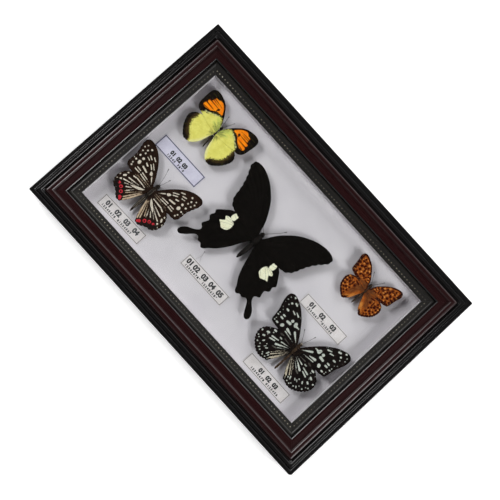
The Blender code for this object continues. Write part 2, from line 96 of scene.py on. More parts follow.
class Mesh:
    """Collects the parts of one piece: points in mm, faces, their material and values at points."""

    def __init__(self):
        self.points = []
        self.faces = []
        self.slots = []
        self.values = {}
        self.count = 0

    def add(self, points, faces, slot=0, **values):
        points = np.asarray(points, float)
        start = self.count
        self.points.append(points)
        self.faces += [tuple(start + int(corner) for corner in face) for face in faces]
        self.slots += [slot] * len(faces)
        for name, value in values.items():
            self.values.setdefault(name, []).append((start, np.asarray(value, float)))
        self.count += len(points)

    def build(self, name, materials):
        points = np.concatenate(self.points) * MM
        mesh = bpy.data.meshes.new(name)
        mesh.from_pydata(points.tolist(), [], self.faces)
        mesh.polygons.foreach_set("material_index", self.slots)
        for value_name, chunks in self.values.items():
            wide = chunks[0][1].ndim == 2
            kind = "FLOAT_VECTOR" if wide else "FLOAT"
            whole = np.full((self.count, 3) if wide else self.count, FAR, np.float32)
            for start, chunk in chunks:
                whole[start:start + len(chunk)] = chunk
            attribute = mesh.attributes.new(value_name, kind, "POINT")
            attribute.data.foreach_set("vector" if wide else "value", whole.ravel())
        for material in materials:
            mesh.materials.append(material)
        mesh.shade_smooth()
        mesh.update()
        piece = bpy.data.objects.new(name, mesh)
        bpy.context.scene.collection.objects.link(piece)
        return piece


def stand_in(piece, node):
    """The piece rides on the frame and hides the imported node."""
    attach(piece, "root")
    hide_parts(node)


def arc(center, radii, start, end, steps):
    """Points on an ellipse from start to end, in degrees."""
    angles = np.radians(np.linspace(start, end, steps + 1))
    return [(center[0] + radii[0] * math.cos(a), center[1] + radii[1] * math.sin(a)) for a in angles]


def smooth_loop(points, steps):
    """A closed smooth curve through the points, cut into steps pieces between each two."""
    points = np.asarray(points, float)
    before, after, beyond = (np.roll(points, shift, axis=0) for shift in (1, -1, -2))
    out = points + (after - before) / 6
    into = after - (beyond - points) / 6
    curve = []
    for t in np.arange(steps) / steps:
        s = 1 - t
        curve.append(s ** 3 * points + 3 * t * s ** 2 * out + 3 * t * t * s * into + t ** 3 * after)
    return np.stack(curve, axis=1).reshape(-1, points.shape[1])


def smooth_line(points, steps):
    """An open smooth curve through points of any dimension."""
    points = np.asarray(points, float)
    padded = np.vstack([2 * points[0] - points[1], points, 2 * points[-1] - points[-2]])
    curve = []
    for before, here, after, beyond in zip(padded, padded[1:], padded[2:], padded[3:]):
        slope = after - before
        bend = 2 * before - 5 * here + 4 * after - beyond
        twist = 3 * here - before - 3 * after + beyond
        for t in np.arange(steps) / steps:
            curve.append(here + 0.5 * t * (slope + t * (bend + t * twist)))
    curve.append(points[-1])
    return np.array(curve)


def even_steps(loop, spacing):
    """The same closed curve with its points an even distance apart."""
    closed = np.vstack([loop, loop[:1]])
    run = np.concatenate([[0], np.cumsum(np.linalg.norm(np.diff(closed, axis=0), axis=1))])
    places = np.linspace(0, run[-1], max(8, int(run[-1] / spacing)), endpoint=False)
    return np.stack([np.interp(places, run, closed[:, axis]) for axis in (0, 1)], axis=1)


def distance_to_line(points, line):
    """Distance of each 2-D point from a chain of straight pieces."""
    nearest = np.full(len(points), 1e9)
    for a, b in zip(line, line[1:]):
        along = b - a
        t = np.clip(((points - a) @ along) / max(along @ along, 1e-12), 0, 1)
        nearest = np.minimum(nearest, np.linalg.norm(points - a - t[:, None] * along, axis=1))
    return nearest


def inside_loop(points, loop):
    """True for each 2-D point that lies in the closed loop."""
    inside = np.zeros(len(points), bool)
    for a, b in zip(loop, np.roll(loop, -1, axis=0)):
        crosses = (a[1] > points[:, 1]) != (b[1] > points[:, 1])
        rise = b[1] - a[1] if b[1] != a[1] else 1e-12
        inside ^= crosses & (points[:, 0] < (b[0] - a[0]) * (points[:, 1] - a[1]) / rise + a[0])
    return inside


def depth_in_loop(points, loop):
    """Signed distance from the loop: negative inside."""
    away = distance_to_line(points, np.vstack([loop, loop[:1]]))
    return np.where(inside_loop(points, loop), -away, away)


def loft_faces(rings, sides):
    """Faces that join rings of points into a skin, with a flat cap at each end."""
    faces = []
    for ring in range(rings - 1):
        low = ring * sides
        for i in range(sides):
            j = (i + 1) % sides
            faces.append((low + j, low + i, low + sides + i, low + sides + j))
    last = (rings - 1) * sides
    faces.append(tuple(range(sides)))
    faces.append(tuple(range(last, last + sides))[::-1])
    return faces


def lattice_faces(rows, columns):
    """Faces of a flat lattice with that many rows and columns of cells."""
    wide = columns + 1
    corners = [row * wide + column for row in range(rows) for column in range(columns)]
    return [(a, a + 1, a + wide + 1, a + wide) for a in corners]


def tube(path, radii, sides):
    """A round tube along a 3-D path, closed at both ends: its points and faces."""
    tangents = np.gradient(path, axis=0)
    points = []
    for center, tangent, radius in zip(path, tangents, radii):
        forward = Vector(tangent).normalized()
        across = forward.cross(Vector((0.0, 0.0, 1.0)))
        across = across.normalized() if across.length > 1e-4 else Vector((1.0, 0.0, 0.0))
        lift = across.cross(forward)
        for angle in TAU * np.arange(sides) / sides:
            points.append(center + radius * np.array(across * math.cos(angle) + lift * math.sin(angle)))
    return np.array(points), [face[::-1] for face in loft_faces(len(path), sides)]


def ball(center, radii, around=14, rows=8):
    """A closed ellipsoid: its points and faces."""
    points = []
    for tilt in math.pi * np.arange(1, rows) / rows:
        reach, height = math.sin(tilt), math.cos(tilt)
        for turn in TAU * np.arange(around) / around:
            points.append((reach * math.cos(turn), reach * math.sin(turn), height))
    points += [(0.0, 0.0, 1.0), (0.0, 0.0, -1.0)]
    north, south = len(points) - 2, len(points) - 1
    low = north - around
    faces = loft_faces(rows - 1, around)[:-2]
    faces += [(north, i, (i + 1) % around) for i in range(around)]
    faces += [(south, low + (i + 1) % around, low + i) for i in range(around)]
    return np.array(points) * np.array(radii) + np.array(center), faces


def doubled(points, faces, thickness):
    """Gives a sheet a thickness: a top, a turned-over bottom and a rim between them."""
    count = len(points)
    shift = np.array([0, 0, thickness / 2])
    edges = {(a, b) for face in faces for a, b in zip(face, face[1:] + face[:1])}
    rim = sorted((a, b) for a, b in edges if (b, a) not in edges)
    all_faces = list(faces)
    all_faces += [tuple(count + corner for corner in reversed(face)) for face in faces]
    all_faces += [(b, a, count + a, count + b) for a, b in rim]
    return np.vstack([points + shift, points - shift]), all_faces


def hairs(roots, tips, radius):
    """Thin closed spikes from roots to tips: their points and faces."""
    points, faces = [], []
    for root, tip in zip(roots, tips):
        along = Vector(tip - root).normalized()
        across = along.orthogonal().normalized()
        third = along.cross(across)
        start = len(points)
        for i in range(3):
            angle = TAU * i / 3
            points.append(root + radius * np.array(across * math.cos(angle) + third * math.sin(angle)))
        points.append(tip)
        faces += [(start, start + 2, start + 1), (start, start + 1, start + 3),
                  (start + 1, start + 2, start + 3), (start + 2, start, start + 3)]
    return np.array(points), faces


# ---------------------------------------------------------------- materials

def srgb(red, green, blue):
    """A colour given as the eight-bit values that a screen shows, as linear light."""
    def linear(value):
        value /= 255.0
        return value / 12.92 if value <= 0.04045 else ((value + 0.055) / 1.055) ** 2.4
    return (linear(red), linear(green), linear(blue), 1.0)


class Paint:
    """A node material around one Principled shader, whose sockets take a value or another node."""

    def __init__(self, name, **constants):
        self.material = bpy.data.materials.new(name)
        self.material.use_nodes = True
        self.tree = self.material.node_tree
        self.shader = self.tree.nodes["Principled BSDF"]
        for socket, value in constants.items():
            self.shader.inputs[socket.replace("_", " ")].default_value = value

    def feed(self, socket, source):
        """Links a node's output to the socket, or sets the socket to a plain value."""
        if isinstance(source, bpy.types.NodeSocket):
            self.tree.links.new(source, socket)
        else:
            socket.default_value = source

    def node(self, kind, inputs=None, **settings):
        made = self.tree.nodes.new("ShaderNode" + kind)
        for name, value in settings.items():
            setattr(made, name, value)
        for name, source in (inputs or {}).items():
            self.feed(made.inputs[name], source)
        return made

    def place(self):
        """The point's place on the object, in metres."""
        return self.node("TexCoord").outputs["Object"]

    def value(self, name, part="Fac"):
        """A value that the mesh holds at its points."""
        return self.node("Attribute", attribute_name=name).outputs[part]

    def stretched(self, vector, scale):
        return self.node("Mapping", {"Vector": vector, "Scale": scale}).outputs["Vector"]

    def noise(self, vector, size, detail=3.0, roughness=0.55, unit=MM):
        """Noise from 0 to 1 with lumps of that size in mm; unit is 1.0 for a vector in mm."""
        inputs = {"Vector": vector, "Scale": 1 / (size * unit), "Detail": detail, "Roughness": roughness}
        return self.node("TexNoise", inputs).outputs["Fac"]

    def math(self, operation, first, second=0.0):
        return self.node("Math", {0: first, 1: second}, operation=operation).outputs[0]

    def fade(self, value, low, high, to_low=0.0, to_high=1.0):
        """A smooth step from to_low, where the value is low, to to_high, where it is high."""
        inputs = {"Value": value, "From Min": low, "From Max": high, "To Min": to_low, "To Max": to_high}
        return self.node("MapRange", inputs, interpolation_type="SMOOTHSTEP").outputs["Result"]

    def mix(self, share, first, second, blend="MIX"):
        made = self.node("Mix", {0: share, 6: first, 7: second}, data_type="RGBA", blend_type=blend)
        return made.outputs[2]

    def bump(self, height, depth, strength):
        """A normal that follows a height from 0 to 1, for a relief that is depth mm high."""
        inputs = {"Height": height, "Distance": depth * MM, "Strength": strength}
        return self.node("Bump", inputs).outputs["Normal"]

    def add(self, first, second, share=1.0):
        """The first value plus a share of the second."""
        return self.math("ADD", first, self.math("MULTIPLY", second, share))

    def set(self, **sources):
        """Feeds the shader's sockets and gives back the finished material."""
        for socket, source in sources.items():
            self.feed(self.shader.inputs[socket.replace("_", " ")], source)
        return self.material


RED_FROM, RED_TO = 10.85, 25.25     # insets between which the moulding is stained red


def lacquer_colour(paint, grain, inset, streaks, is_red):
    """Black and mahogany lacquer, rubbed through here and there along the outer edge."""
    cloud = paint.noise(grain, 24.0, 2.0, unit=1.0)
    black = paint.mix(cloud, srgb(14, 13, 14), srgb(20, 19, 19))
    red_dark = paint.mix(streaks, srgb(26, 5, 7), srgb(36, 10, 11))
    red = paint.mix(paint.fade(cloud, 0.3, 0.75), red_dark, srgb(31, 8, 9))
    wear = paint.noise(paint.stretched(grain, (0.25, 1.0, 1.0)), 1.1, 4.0, 0.7, unit=1.0)
    near_edge = paint.fade(inset, 1.6, 0.2, 0.0, 0.55)
    worn = paint.math("MULTIPLY", paint.fade(wear, 0.66, 0.78), near_edge)
    return paint.mix(worn, paint.mix(is_red, black, red), srgb(72, 60, 52))


def bare_share(paint, height, inset, wobble):
    """Where the moulding is left bare: behind, and on the rabbet's wall."""
    behind = paint.fade(height, 0.12, 0.03)
    on_wall = paint.fade(inset, RABBET_INSET - 0.2, RABBET_INSET - 0.05)
    under_lip = paint.fade(height, LIP_UNDERSIDE + 0.4, LIP_UNDERSIDE + 0.1)
    in_rabbet = paint.math("MULTIPLY", on_wall, under_lip)
    paint_bleed = paint.fade(paint.add(inset, wobble, 5.0), 0.6, 2.2)
    return paint.math("MULTIPLY", paint.math("MAXIMUM", behind, in_rabbet), paint_bleed)


def moulding_material():
    """Lacquered wood: black beads, a dark mahogany ridge and panel, bare wood behind."""
    paint = Paint("lacquered_moulding", IOR=1.5)
    grain = paint.value("grain", "Vector")
    inset = paint.value("inset")
    height = paint.node("SeparateXYZ", {0: grain}).outputs[2]
    streaks = paint.noise(paint.stretched(grain, (0.06, 1.6, 1.6)), 1.0, 5.0, 0.6, unit=1.0)
    fine = paint.noise(paint.stretched(grain, (0.1, 5.0, 5.0)), 1.0, 3.0, 0.6, unit=1.0)
    wobble = paint.fade(paint.noise(grain, 1.6, 3.0, unit=1.0), 0.0, 1.0, -0.25, 0.25)
    edge = paint.math("ADD", inset, wobble)
    into_red = paint.fade(edge, RED_FROM - 0.25, RED_FROM + 0.25)
    out_of_red = paint.fade(edge, RED_TO + 0.35, RED_TO - 0.35)
    is_red = paint.math("MULTIPLY", into_red, out_of_red)
    lacquer = lacquer_colour(paint, grain, inset, streaks, is_red)
    bare = bare_share(paint, height, inset, wobble)
    rings = paint.noise(paint.stretched(grain, (0.02, 0.7, 0.7)), 1.0, 6.0, 0.65, unit=1.0)
    wood = paint.mix(rings, srgb(150, 112, 74), srgb(196, 160, 116))
    gloss = paint.fade(paint.math("ADD", streaks, fine), 0.7, 1.3, 0.2, 0.235)
    return paint.set(
        Base_Color=paint.mix(bare, lacquer, wood),
        Roughness=paint.add(paint.add(gloss, is_red, 0.06), bare, 0.5),
        Normal=paint.bump(paint.add(streaks, fine, 0.5), 0.008, 0.04),
    )


def slip_material():
    """A dark pewter-black strip whose bead tops are painted lighter: partly rubbed wear, partly a painted
    highlight.
    """
    paint = Paint("slip_finish", IOR=1.5, Specular_IOR_Level=0.35)
    grain = paint.value("grain", "Vector")
    speckle = paint.noise(grain, 0.8, 4.0, 0.7, unit=1.0)
    cloud = paint.noise(paint.stretched(grain, (0.3, 1.0, 1.0)), 6.0, 3.0, unit=1.0)
    ground = paint.mix(cloud, srgb(24, 23, 22), srgb(37, 35, 33))
    ground = paint.mix(paint.fade(speckle, 0.62, 0.72, 0.0, 0.4), ground, srgb(74, 70, 62))
    # Painted highlight and wear: the bead crowns are painted a light cream, partly for rubbed lacquer and
    # partly for the lamps' glints on them.
    crown = paint.fade(paint.value("crown"), 0.35, 0.95)
    by_stretch = paint.fade(paint.noise(grain, 70.0, 1.0, unit=1.0), 0.4, 0.6, 0.22, 1.0)
    by_bead = paint.math("MULTIPLY", crown, paint.fade(cloud, 0.3, 0.7, 0.5, 1.0))
    worn_and_highlit_crowns = paint.math("MULTIPLY", by_bead, by_stretch)
    return paint.set(
        Base_Color=paint.mix(worn_and_highlit_crowns, ground, srgb(158, 151, 133)),
        Roughness=paint.fade(speckle, 0.3, 0.8, 0.28, 0.42),
        Normal=paint.bump(speckle, 0.05, 0.3),
    )


def glass_material():
    """Plain picture glass with a trace of dust.  Lamps reach the board through it."""
    paint = Paint("picture_glass", Transmission_Weight=1.0, IOR=1.5)
    place = paint.place()
    smear = paint.noise(paint.stretched(place, (1.0, 2.6, 1.0)), 40.0, 3.0)
    specks = paint.fade(paint.noise(place, 0.7, 2.0, 0.5), 0.76, 0.82)
    material = paint.set(
        Base_Color=paint.mix(specks, (0.985, 0.995, 0.99, 1), (0.93, 0.93, 0.92, 1)),
        Roughness=paint.add(paint.fade(smear, 0.45, 0.8, 0.0, 0.02), specks, 0.05),
    )
    output = paint.tree.nodes["Material Output"]
    clear = paint.node("BsdfTransparent", {"Color": (0.93, 0.95, 0.94, 1)})
    surface = paint.shader.outputs[0]
    for ray in ("Is Diffuse Ray", "Is Shadow Ray"):
        passes = paint.node("LightPath").outputs[ray]
        surface = paint.node("MixShader", {0: passes, 1: surface, 2: clear.outputs[0]}).outputs[0]
    paint.feed(output.inputs["Surface"], surface)
    return material


def board_material(name, light, dark, fibre_size=0.9):
    """Coated paper on foam board: nearly flat, with soft clouds, fibres and a few specks."""
    paint = Paint(name, IOR=1.45)
    place = paint.place()
    cloud = paint.noise(place, 45.0, 3.0)
    fibres = paint.noise(paint.stretched(place, (1.0, 2.4, 1.0)), fibre_size, 4.0, 0.65)
    tone = paint.mix(paint.fade(cloud, 0.3, 0.7), light, dark)
    tone = paint.mix(paint.fade(fibres, 0.35, 0.75, 0.0, 0.22), tone, dark)
    specks = paint.fade(paint.noise(place, 1.3, 2.0), 0.79, 0.83, 0.0, 0.45)
    tone = paint.mix(specks, tone, srgb(120, 112, 104))
    return paint.set(
        Base_Color=tone,
        Roughness=paint.fade(fibres, 0.2, 0.8, 0.6, 0.8),
        Normal=paint.bump(fibres, 0.04, 0.4),
    )


def fibreboard_material():
    """Brown hardboard: pressed fibres, darker patches and a faint mesh of press marks."""
    paint = Paint("hardboard", IOR=1.45)
    place = paint.place()
    fibres = paint.noise(paint.stretched(place, (1.0, 2.2, 1.0)), 1.4, 6.0, 0.75)
    cloud = paint.noise(place, 30.0, 4.0)
    weave = paint.node("TexVoronoi", {"Vector": place, "Scale": 1 / (1.1 * MM)}).outputs["Distance"]
    tone = paint.mix(fibres, srgb(96, 62, 38), srgb(156, 112, 74))
    tone = paint.mix(paint.fade(cloud, 0.35, 0.75, 0.0, 0.5), tone, srgb(84, 54, 34))
    return paint.set(
        Base_Color=tone,
        Roughness=paint.fade(fibres, 0.2, 0.8, 0.65, 0.9),
        Normal=paint.bump(paint.add(fibres, weave, 0.5), 0.12, 0.6),
    )


def steel_material():
    """Zinc-plated steel with rolling marks, dull spots and a little tarnish."""
    paint = Paint("plated_steel", Metallic=1.0)
    place = paint.place()
    rolled = paint.noise(paint.stretched(place, (0.2, 4.0, 4.0)), 0.6, 4.0, 0.6)
    spangle = paint.node("TexVoronoi", {"Vector": place, "Scale": 1 / (2.2 * MM)}).outputs["Color"]
    grey = paint.mix(rolled, srgb(140, 142, 146), srgb(188, 190, 192))
    grey = paint.mix(0.12, grey, spangle, "SOFT_LIGHT")
    tarnish = paint.fade(paint.noise(place, 3.0, 5.0, 0.7), 0.6, 0.78, 0.0, 0.6)
    return paint.set(
        Base_Color=paint.mix(tarnish, grey, srgb(112, 84, 60)),
        Roughness=paint.fade(rolled, 0.2, 0.8, 0.25, 0.5),
        Normal=paint.bump(rolled, 0.02, 0.4),
    )


BORDER_INSET = 0.75      # from the paper's edge to the middle of its printed rule
DASHES_PER_MM = 0.8


def ruled_border(paint, sheet, half_width, half_height, line_width, gap_share):
    """Where ink lies on the rule round a label: its gaps lose gap_share of their ink."""
    axes = paint.node("SeparateXYZ", {0: sheet})
    x, y = axes.outputs[0], axes.outputs[1]
    from_end = paint.math("SUBTRACT", half_width, paint.math("ABSOLUTE", x))
    from_side = paint.math("SUBTRACT", half_height, paint.math("ABSOLUTE", y))
    rim = paint.math("MINIMUM", from_end, from_side)
    off_line = paint.math("ABSOLUTE", paint.math("SUBTRACT", rim, BORDER_INSET))
    line = paint.fade(off_line, line_width / 2 + 0.08, line_width / 2 - 0.04)
    on_long_side = paint.math("GREATER_THAN", from_end, from_side)
    up_short_side = paint.math("MULTIPLY", paint.math("SUBTRACT", 1.0, on_long_side), y)
    run = paint.math("ADD", paint.math("MULTIPLY", on_long_side, x), up_short_side)
    beat = paint.math("FRACT", paint.math("MULTIPLY", run, DASHES_PER_MM))
    return paint.math("MULTIPLY", line, paint.fade(beat, 0.62, 0.74, 1.0, 1.0 - gap_share))


def paper_material(name, light, dark, ink, *border):
    """Printed paper with a thin ruled border.  The sheet's own x and y come from the mesh."""
    paint = Paint(name, IOR=1.45)
    sheet = paint.value("sheet", "Vector")
    fibres = paint.noise(sheet, 0.5, 5.0, 0.7, unit=1.0)
    cloud = paint.noise(sheet, 9.0, 3.0, unit=1.0)
    tone = paint.mix(paint.fade(cloud, 0.3, 0.7), light, dark)
    tone = paint.mix(paint.fade(fibres, 0.4, 0.75, 0.0, 0.3), tone, dark)
    patchy = paint.fade(fibres, 0.3, 0.65, 1.0, 0.8)
    inked = paint.math("MULTIPLY", ruled_border(paint, sheet, *border), patchy)
    return paint.set(
        Base_Color=paint.mix(inked, tone, ink),
        Roughness=paint.fade(fibres, 0.2, 0.8, 0.7, 0.9),
        Normal=paint.bump(fibres, 0.03, 0.4),
    )


def ink_material(name, ink):
    """Printer's ink, a little thin in places."""
    paint = Paint(name, IOR=1.45)
    patchy = paint.noise(paint.place(), 0.4, 3.0)
    return paint.set(
        Base_Color=paint.mix(paint.fade(patchy, 0.5, 0.8, 0.0, 0.2), ink, srgb(110, 106, 104)),
        Roughness=paint.fade(patchy, 0.2, 0.8, 0.5, 0.8),
    )


SCALE_SIZE = 0.22        # a butterfly's scales, in mm


def wing_material(name, finish):
    """Scaled wing membrane.  Each layer of marks shows where the mesh's value is below zero."""
    paint = Paint(name, IOR=1.42, Specular_IOR_Level=0.03, Sheen_Weight=0.01, Sheen_Roughness=0.45)
    place = paint.place()
    coarse = paint.noise(place, 5.0, 3.0)
    dust = paint.noise(place, 0.5, 3.0, 0.7)
    scales = paint.node("TexVoronoi", {"Vector": place, "Scale": 1 / (SCALE_SIZE * MM)}).outputs["Distance"]
    variety = paint.fade(paint.add(coarse, dust, 0.6), 0.55, 1.05)
    colour = paint.mix(variety, *finish["ground"])
    ragged = paint.fade(paint.noise(place, 1.1, 4.0, 0.7), 0.2, 0.8, -1.0, 1.0)
    for value, light, dark, softness, raggedness in finish["layers"]:
        depth = paint.add(paint.value(value), ragged, raggedness)
        colour = paint.mix(paint.fade(depth, softness, -softness), colour, paint.mix(variety, light, dark))
    vein_colour, half_width, strength = finish["vein"]
    on_vein = paint.fade(paint.value("vein"), half_width * 1.6, half_width * 0.4, 0.0, strength)
    colour = paint.mix(on_vein, colour, vein_colour)
    if "fringe" in finish:
        at_edge = paint.add(paint.value("edge"), ragged, 0.12)
        colour = paint.mix(paint.fade(at_edge, 0.42, 0.12, 0.0, 0.85), colour, finish["fringe"])
    worn_and_highlit_crowns = paint.fade(paint.noise(place, 0.9, 5.0, 0.75), 0.7, 0.82, 0.0, 0.08)
    vein_height = paint.fade(paint.value("vein"), 0.45, 0.05)
    return paint.set(
        Base_Color=paint.mix(worn_and_highlit_crowns, colour, srgb(118, 106, 92)),
        Roughness=paint.fade(dust, 0.2, 0.8, 0.55, 0.8),
        Normal=paint.bump(paint.add(vein_height, scales, 0.25), 0.10, 0.5),
    )


def fur_material(name, light, dark, pale):
    """Body scales and hair, with pale marks where the mesh says so."""
    paint = Paint(name, IOR=1.45, Specular_IOR_Level=0.08, Sheen_Weight=0.02, Sheen_Roughness=0.5)
    place = paint.place()
    tufts = paint.noise(paint.stretched(place, (1.0, 0.35, 1.0)), 0.45, 4.0, 0.7)
    patches = paint.noise(place, 2.4, 3.0)
    colour = paint.mix(paint.fade(paint.math("ADD", tufts, patches), 0.7, 1.3), dark, light)
    marks = paint.math("ADD", paint.value("pale"), paint.fade(tufts, 0.2, 0.8, -0.25, 0.25))
    colour = paint.mix(paint.fade(marks, 0.15, -0.15), colour, pale)
    return paint.set(
        Base_Color=colour,
        Roughness=paint.fade(tufts, 0.2, 0.8, 0.6, 0.9),
        Normal=paint.bump(tufts, 0.15, 0.7),
    )


def chitin_material(name, light, dark):
    """Antennae, legs and eyes: thin, hard and a little glossy."""
    paint = Paint(name, IOR=1.5)
    rings = paint.noise(paint.place(), 0.35, 2.0)
    return paint.set(
        Base_Color=paint.mix(rings, light, dark),
        Roughness=paint.fade(rings, 0.3, 0.7, 0.25, 0.45),
        Normal=paint.bump(rings, 0.03, 0.5),
    )


# ---------------------------------------------------------------- frame

# An inset is a distance from the frame's outer edge
RABBET_INSET = 20.0
LIP_INSET = 26.6
LIP_UNDERSIDE = 22.0
SIGHT_INSET = 36.4
MITRE_GAP = 0.05         # what is left open in each mitre, along the length
CORNER_RADII = {(-1, -1): 1.2, (-1, 1): 0.9, (1, -1): 3.2, (1, 1): 0.8}
END_STEPS = (0.0, 0.15, 0.4, 0.8, 1.4, 2.2, 3.2, 4.6)     # cuts near a mitre, from its end
LENGTH_STEP = 5.0                                         # between cuts elsewhere

# The moulding's raised parts, as (inset, z)
OUTER_BEAD = [
    (0.0, 25.9), (0.06, 26.5), (0.22, 26.8), (0.6, 26.92), (1.6, 26.98), (2.6, 27.0), (3.6, 26.94),
    (4.15, 26.65), (4.5, 26.1), (4.75, 25.2), (5.0, 24.4), (5.2, 24.1),
]
SECOND_BEAD = [
    (5.5, 24.4), (5.56, 26.8), (5.62, 27.5), (5.78, 27.76), (6.1, 27.83), (6.8, 27.88), (7.5, 27.9),
    (8.3, 27.78), (8.9, 27.3), (9.3, 26.5), (9.5, 25.6), (10.1, 25.1), (10.9, 25.2),
]
RIDGE = [
    (11.5, 25.8), (11.65, 27.8), (11.9, 28.75), (12.25, 29.35), (12.75, 29.7), (13.4, 29.86),
    (14.2, 29.96), (15.0, 30.0), (15.9, 29.9), (16.85, 29.4), (17.55, 28.45), (17.9, 27.5),
]
PANEL = [(18.15, 27.22), (18.5, 27.2), (20.0, 27.28), (22.0, 27.42)]
SLOPE_TOP = (31.4, 23.38)     # the slip's slope, which carries its beads
SLOPE_END = (35.4, 22.28)
SLIP_FLANGE = 0.9             # thickness of the slip's flange


def moulding_section():
    """The moulding's section as (inset from the outer edge, z), from the rear outer corner."""
    section = [(0.0, 0.0), (0.0, 8.0), (0.0, 16.0)]
    for bead in (OUTER_BEAD, SECOND_BEAD, RIDGE):
        section += smooth_line(bead, 3).tolist()
    section += PANEL
    section += arc((24.6, 25.7), (2.0, 1.9), 85, 0, 12)
    section += [(LIP_INSET, 24.0), (LIP_INSET, LIP_UNDERSIDE), (23.0, LIP_UNDERSIDE)]
    section += [(RABBET_INSET, LIP_UNDERSIDE), (RABBET_INSET, 11.0), (RABBET_INSET, 0.0), (10.0, 0.0)]
    return np.array(section)


def slip_section():
    """The inner slip's section: a flange under the lip, a raised edge and a slope to the sight edge."""
    flange_low = node_box("slip_top")[0][2]
    flange_top = flange_low + SLIP_FLANGE
    outer = RABBET_INSET + 0.3
    section = [(outer, flange_low), (outer, flange_top), (LIP_INSET + 0.4, flange_top)]
    section += arc((28.2, 24.35), (1.2, 0.55), 180, 0, 14)
    section += [(29.45, 24.1), (29.6, 23.9), (29.9, 23.78), (30.4, 23.66)]
    section += [SLOPE_TOP, (34.4, 22.55), SLOPE_END]
    section += arc((SIGHT_INSET - 0.5, 21.75), (0.5, 0.45), 80, 0, 5)
    section += [(SIGHT_INSET, flange_low), (28.0, flange_low)]
    return np.array(section)


def side_points(side, along, inset, z):
    """Points on one side of the frame, from arrays of place along it, inset and height."""
    if side == "top":
        x, y = along, HALF_HEIGHT - inset
    elif side == "bottom":
        x, y = -along, -HALF_HEIGHT + inset
    elif side == "left":
        x, y = -HALF_WIDTH + inset, along
    else:
        x, y = HALF_WIDTH - inset, -along
    return np.stack(np.broadcast_arrays(x, y, z), axis=-1).astype(float)


def round_corners(points):
    """Rounds the frame's outer corners in plan, the lower right one most."""
    for (sign_x, sign_y), radius in CORNER_RADII.items():
        corner = np.array([sign_x * (HALF_WIDTH - radius), sign_y * (HALF_HEIGHT - radius)])
        offset = (points[:, :2] - corner) * np.array([sign_x, sign_y])
        near = (offset > 0).all(axis=1)
        square = offset[near].max(axis=1)
        length = np.linalg.norm(offset[near], axis=1)
        offset[near] *= (square / np.maximum(length, 1e-9))[:, None]
        points[near, :2] = corner + offset[near] * np.array([sign_x, sign_y])
    return points


def run_section(section, half_length):
    """Sweeps a section along one side with mitred ends: grids of place along, inset and height."""
    middle = half_length - LIP_INSET - END_STEPS[-1]
    count = int(2 * middle / LENGTH_STEP)
    fractions = np.linspace(-1, 1, count + 1)
    inset, z = section[:, 0], section[:, 1]
    mitre = half_length - inset - MITRE_GAP
    rows = [-(mitre - step) for step in END_STEPS]
    rows += [fraction * (mitre - END_STEPS[-1]) for fraction in fractions[1:-1]]
    rows += [mitre - step for step in reversed(END_STEPS)]
    along = np.array(rows)
    return along, np.broadcast_to(inset, along.shape), np.broadcast_to(z, along.shape)


def half_side(side):
    """Half the outer length of one side of the frame."""
    return HALF_WIDTH if side in ("top", "bottom") else HALF_HEIGHT


def sweep_side(side, section, ripple):
    """One length of moulding or slip, very slightly uneven along its length."""
    along, inset, z = run_section(section, half_side(side))
    seed = SIDES.index(side) + 1
    wander = solid_noise(np.stack([along.ravel(), inset.ravel() * 2], axis=1), 38.0, seed)
    sunk = np.where(z > LIP_UNDERSIDE, np.abs(wander.reshape(z.shape)) * ripple, 0.0)
    points = round_corners(side_points(side, along, inset, z - sunk).reshape(-1, 3))
    grain = np.stack([along.ravel() + seed * 500, inset.ravel(), z.ravel()], axis=1)
    flat_crown = np.zeros(len(points))
    mesh = Mesh()
    mesh.add(points, loft_faces(*along.shape), inset=inset.ravel(), grain=grain, crown=flat_crown)
    return mesh


def sharpen(piece, angle):
    """Keeps edges that turn by more than this angle, in degrees, crisp."""
    piece.data.set_sharp_from_angle(angle=math.radians(angle))


def build_moulding():
    """The four mitred lengths of moulding."""
    material = moulding_material()
    for side in SIDES:
        piece = sweep_side(side, moulding_section(), 0.10).build("moulding_" + side, [material])
        sharpen(piece, 34)
        stand_in(piece, "rail_" + side)


BEAD_PITCH = 3.9
BEAD_INSET = 32.9
BEAD_RADII = (0.8, 0.62, 0.42)   # along the strip, across it and in height
BEAD_SUNK = 0.15                 # how far a bead's foot lies in the slope
BEAD_SIDES = 12
BEAD_ROWS = (0.0, 0.3, 0.55, 0.8)


def bead_dome():
    """A dome of unit size: its points as arrays of place along, place across and rise, and its faces."""
    rise = np.append(np.repeat(BEAD_ROWS, BEAD_SIDES), 1.0)
    reach = np.sqrt(1 - rise ** 2)
    angle = np.append(np.tile(TAU * np.arange(BEAD_SIDES) / BEAD_SIDES, len(BEAD_ROWS)), 0.0)
    tip = len(rise) - 1
    low = tip - BEAD_SIDES
    faces = loft_faces(len(BEAD_ROWS), BEAD_SIDES)[:-1]
    faces += [(low + (i + 1) % BEAD_SIDES, low + i, tip) for i in range(BEAD_SIDES)]
    return reach * np.cos(angle), reach * np.sin(angle), rise, faces


def add_beads(mesh, side):
    """A row of small domes pressed along the slope of the slip, a little uneven in size."""
    dome_along, dome_across, rise, faces = bead_dome()
    fall = (SLOPE_END[1] - SLOPE_TOP[1]) / (SLOPE_END[0] - SLOPE_TOP[0])
    count = int(2 * (half_side(side) - BEAD_INSET) / BEAD_PITCH)
    rng = np.random.default_rng(40 + SIDES.index(side))
    for number in range(count):
        size = rng.uniform(0.85, 1.08)
        along = (number - (count - 1) / 2) * BEAD_PITCH + size * BEAD_RADII[0] * dome_along
        inset = BEAD_INSET + size * BEAD_RADII[1] * dome_across
        slope = SLOPE_TOP[1] + (inset - SLOPE_TOP[0]) * fall
        z = slope - BEAD_SUNK + rise * size * BEAD_RADII[2]
        grain = np.stack([along, inset, z], axis=1)
        mesh.add(side_points(side, along, inset, z), faces, inset=inset, grain=grain, crown=rise)


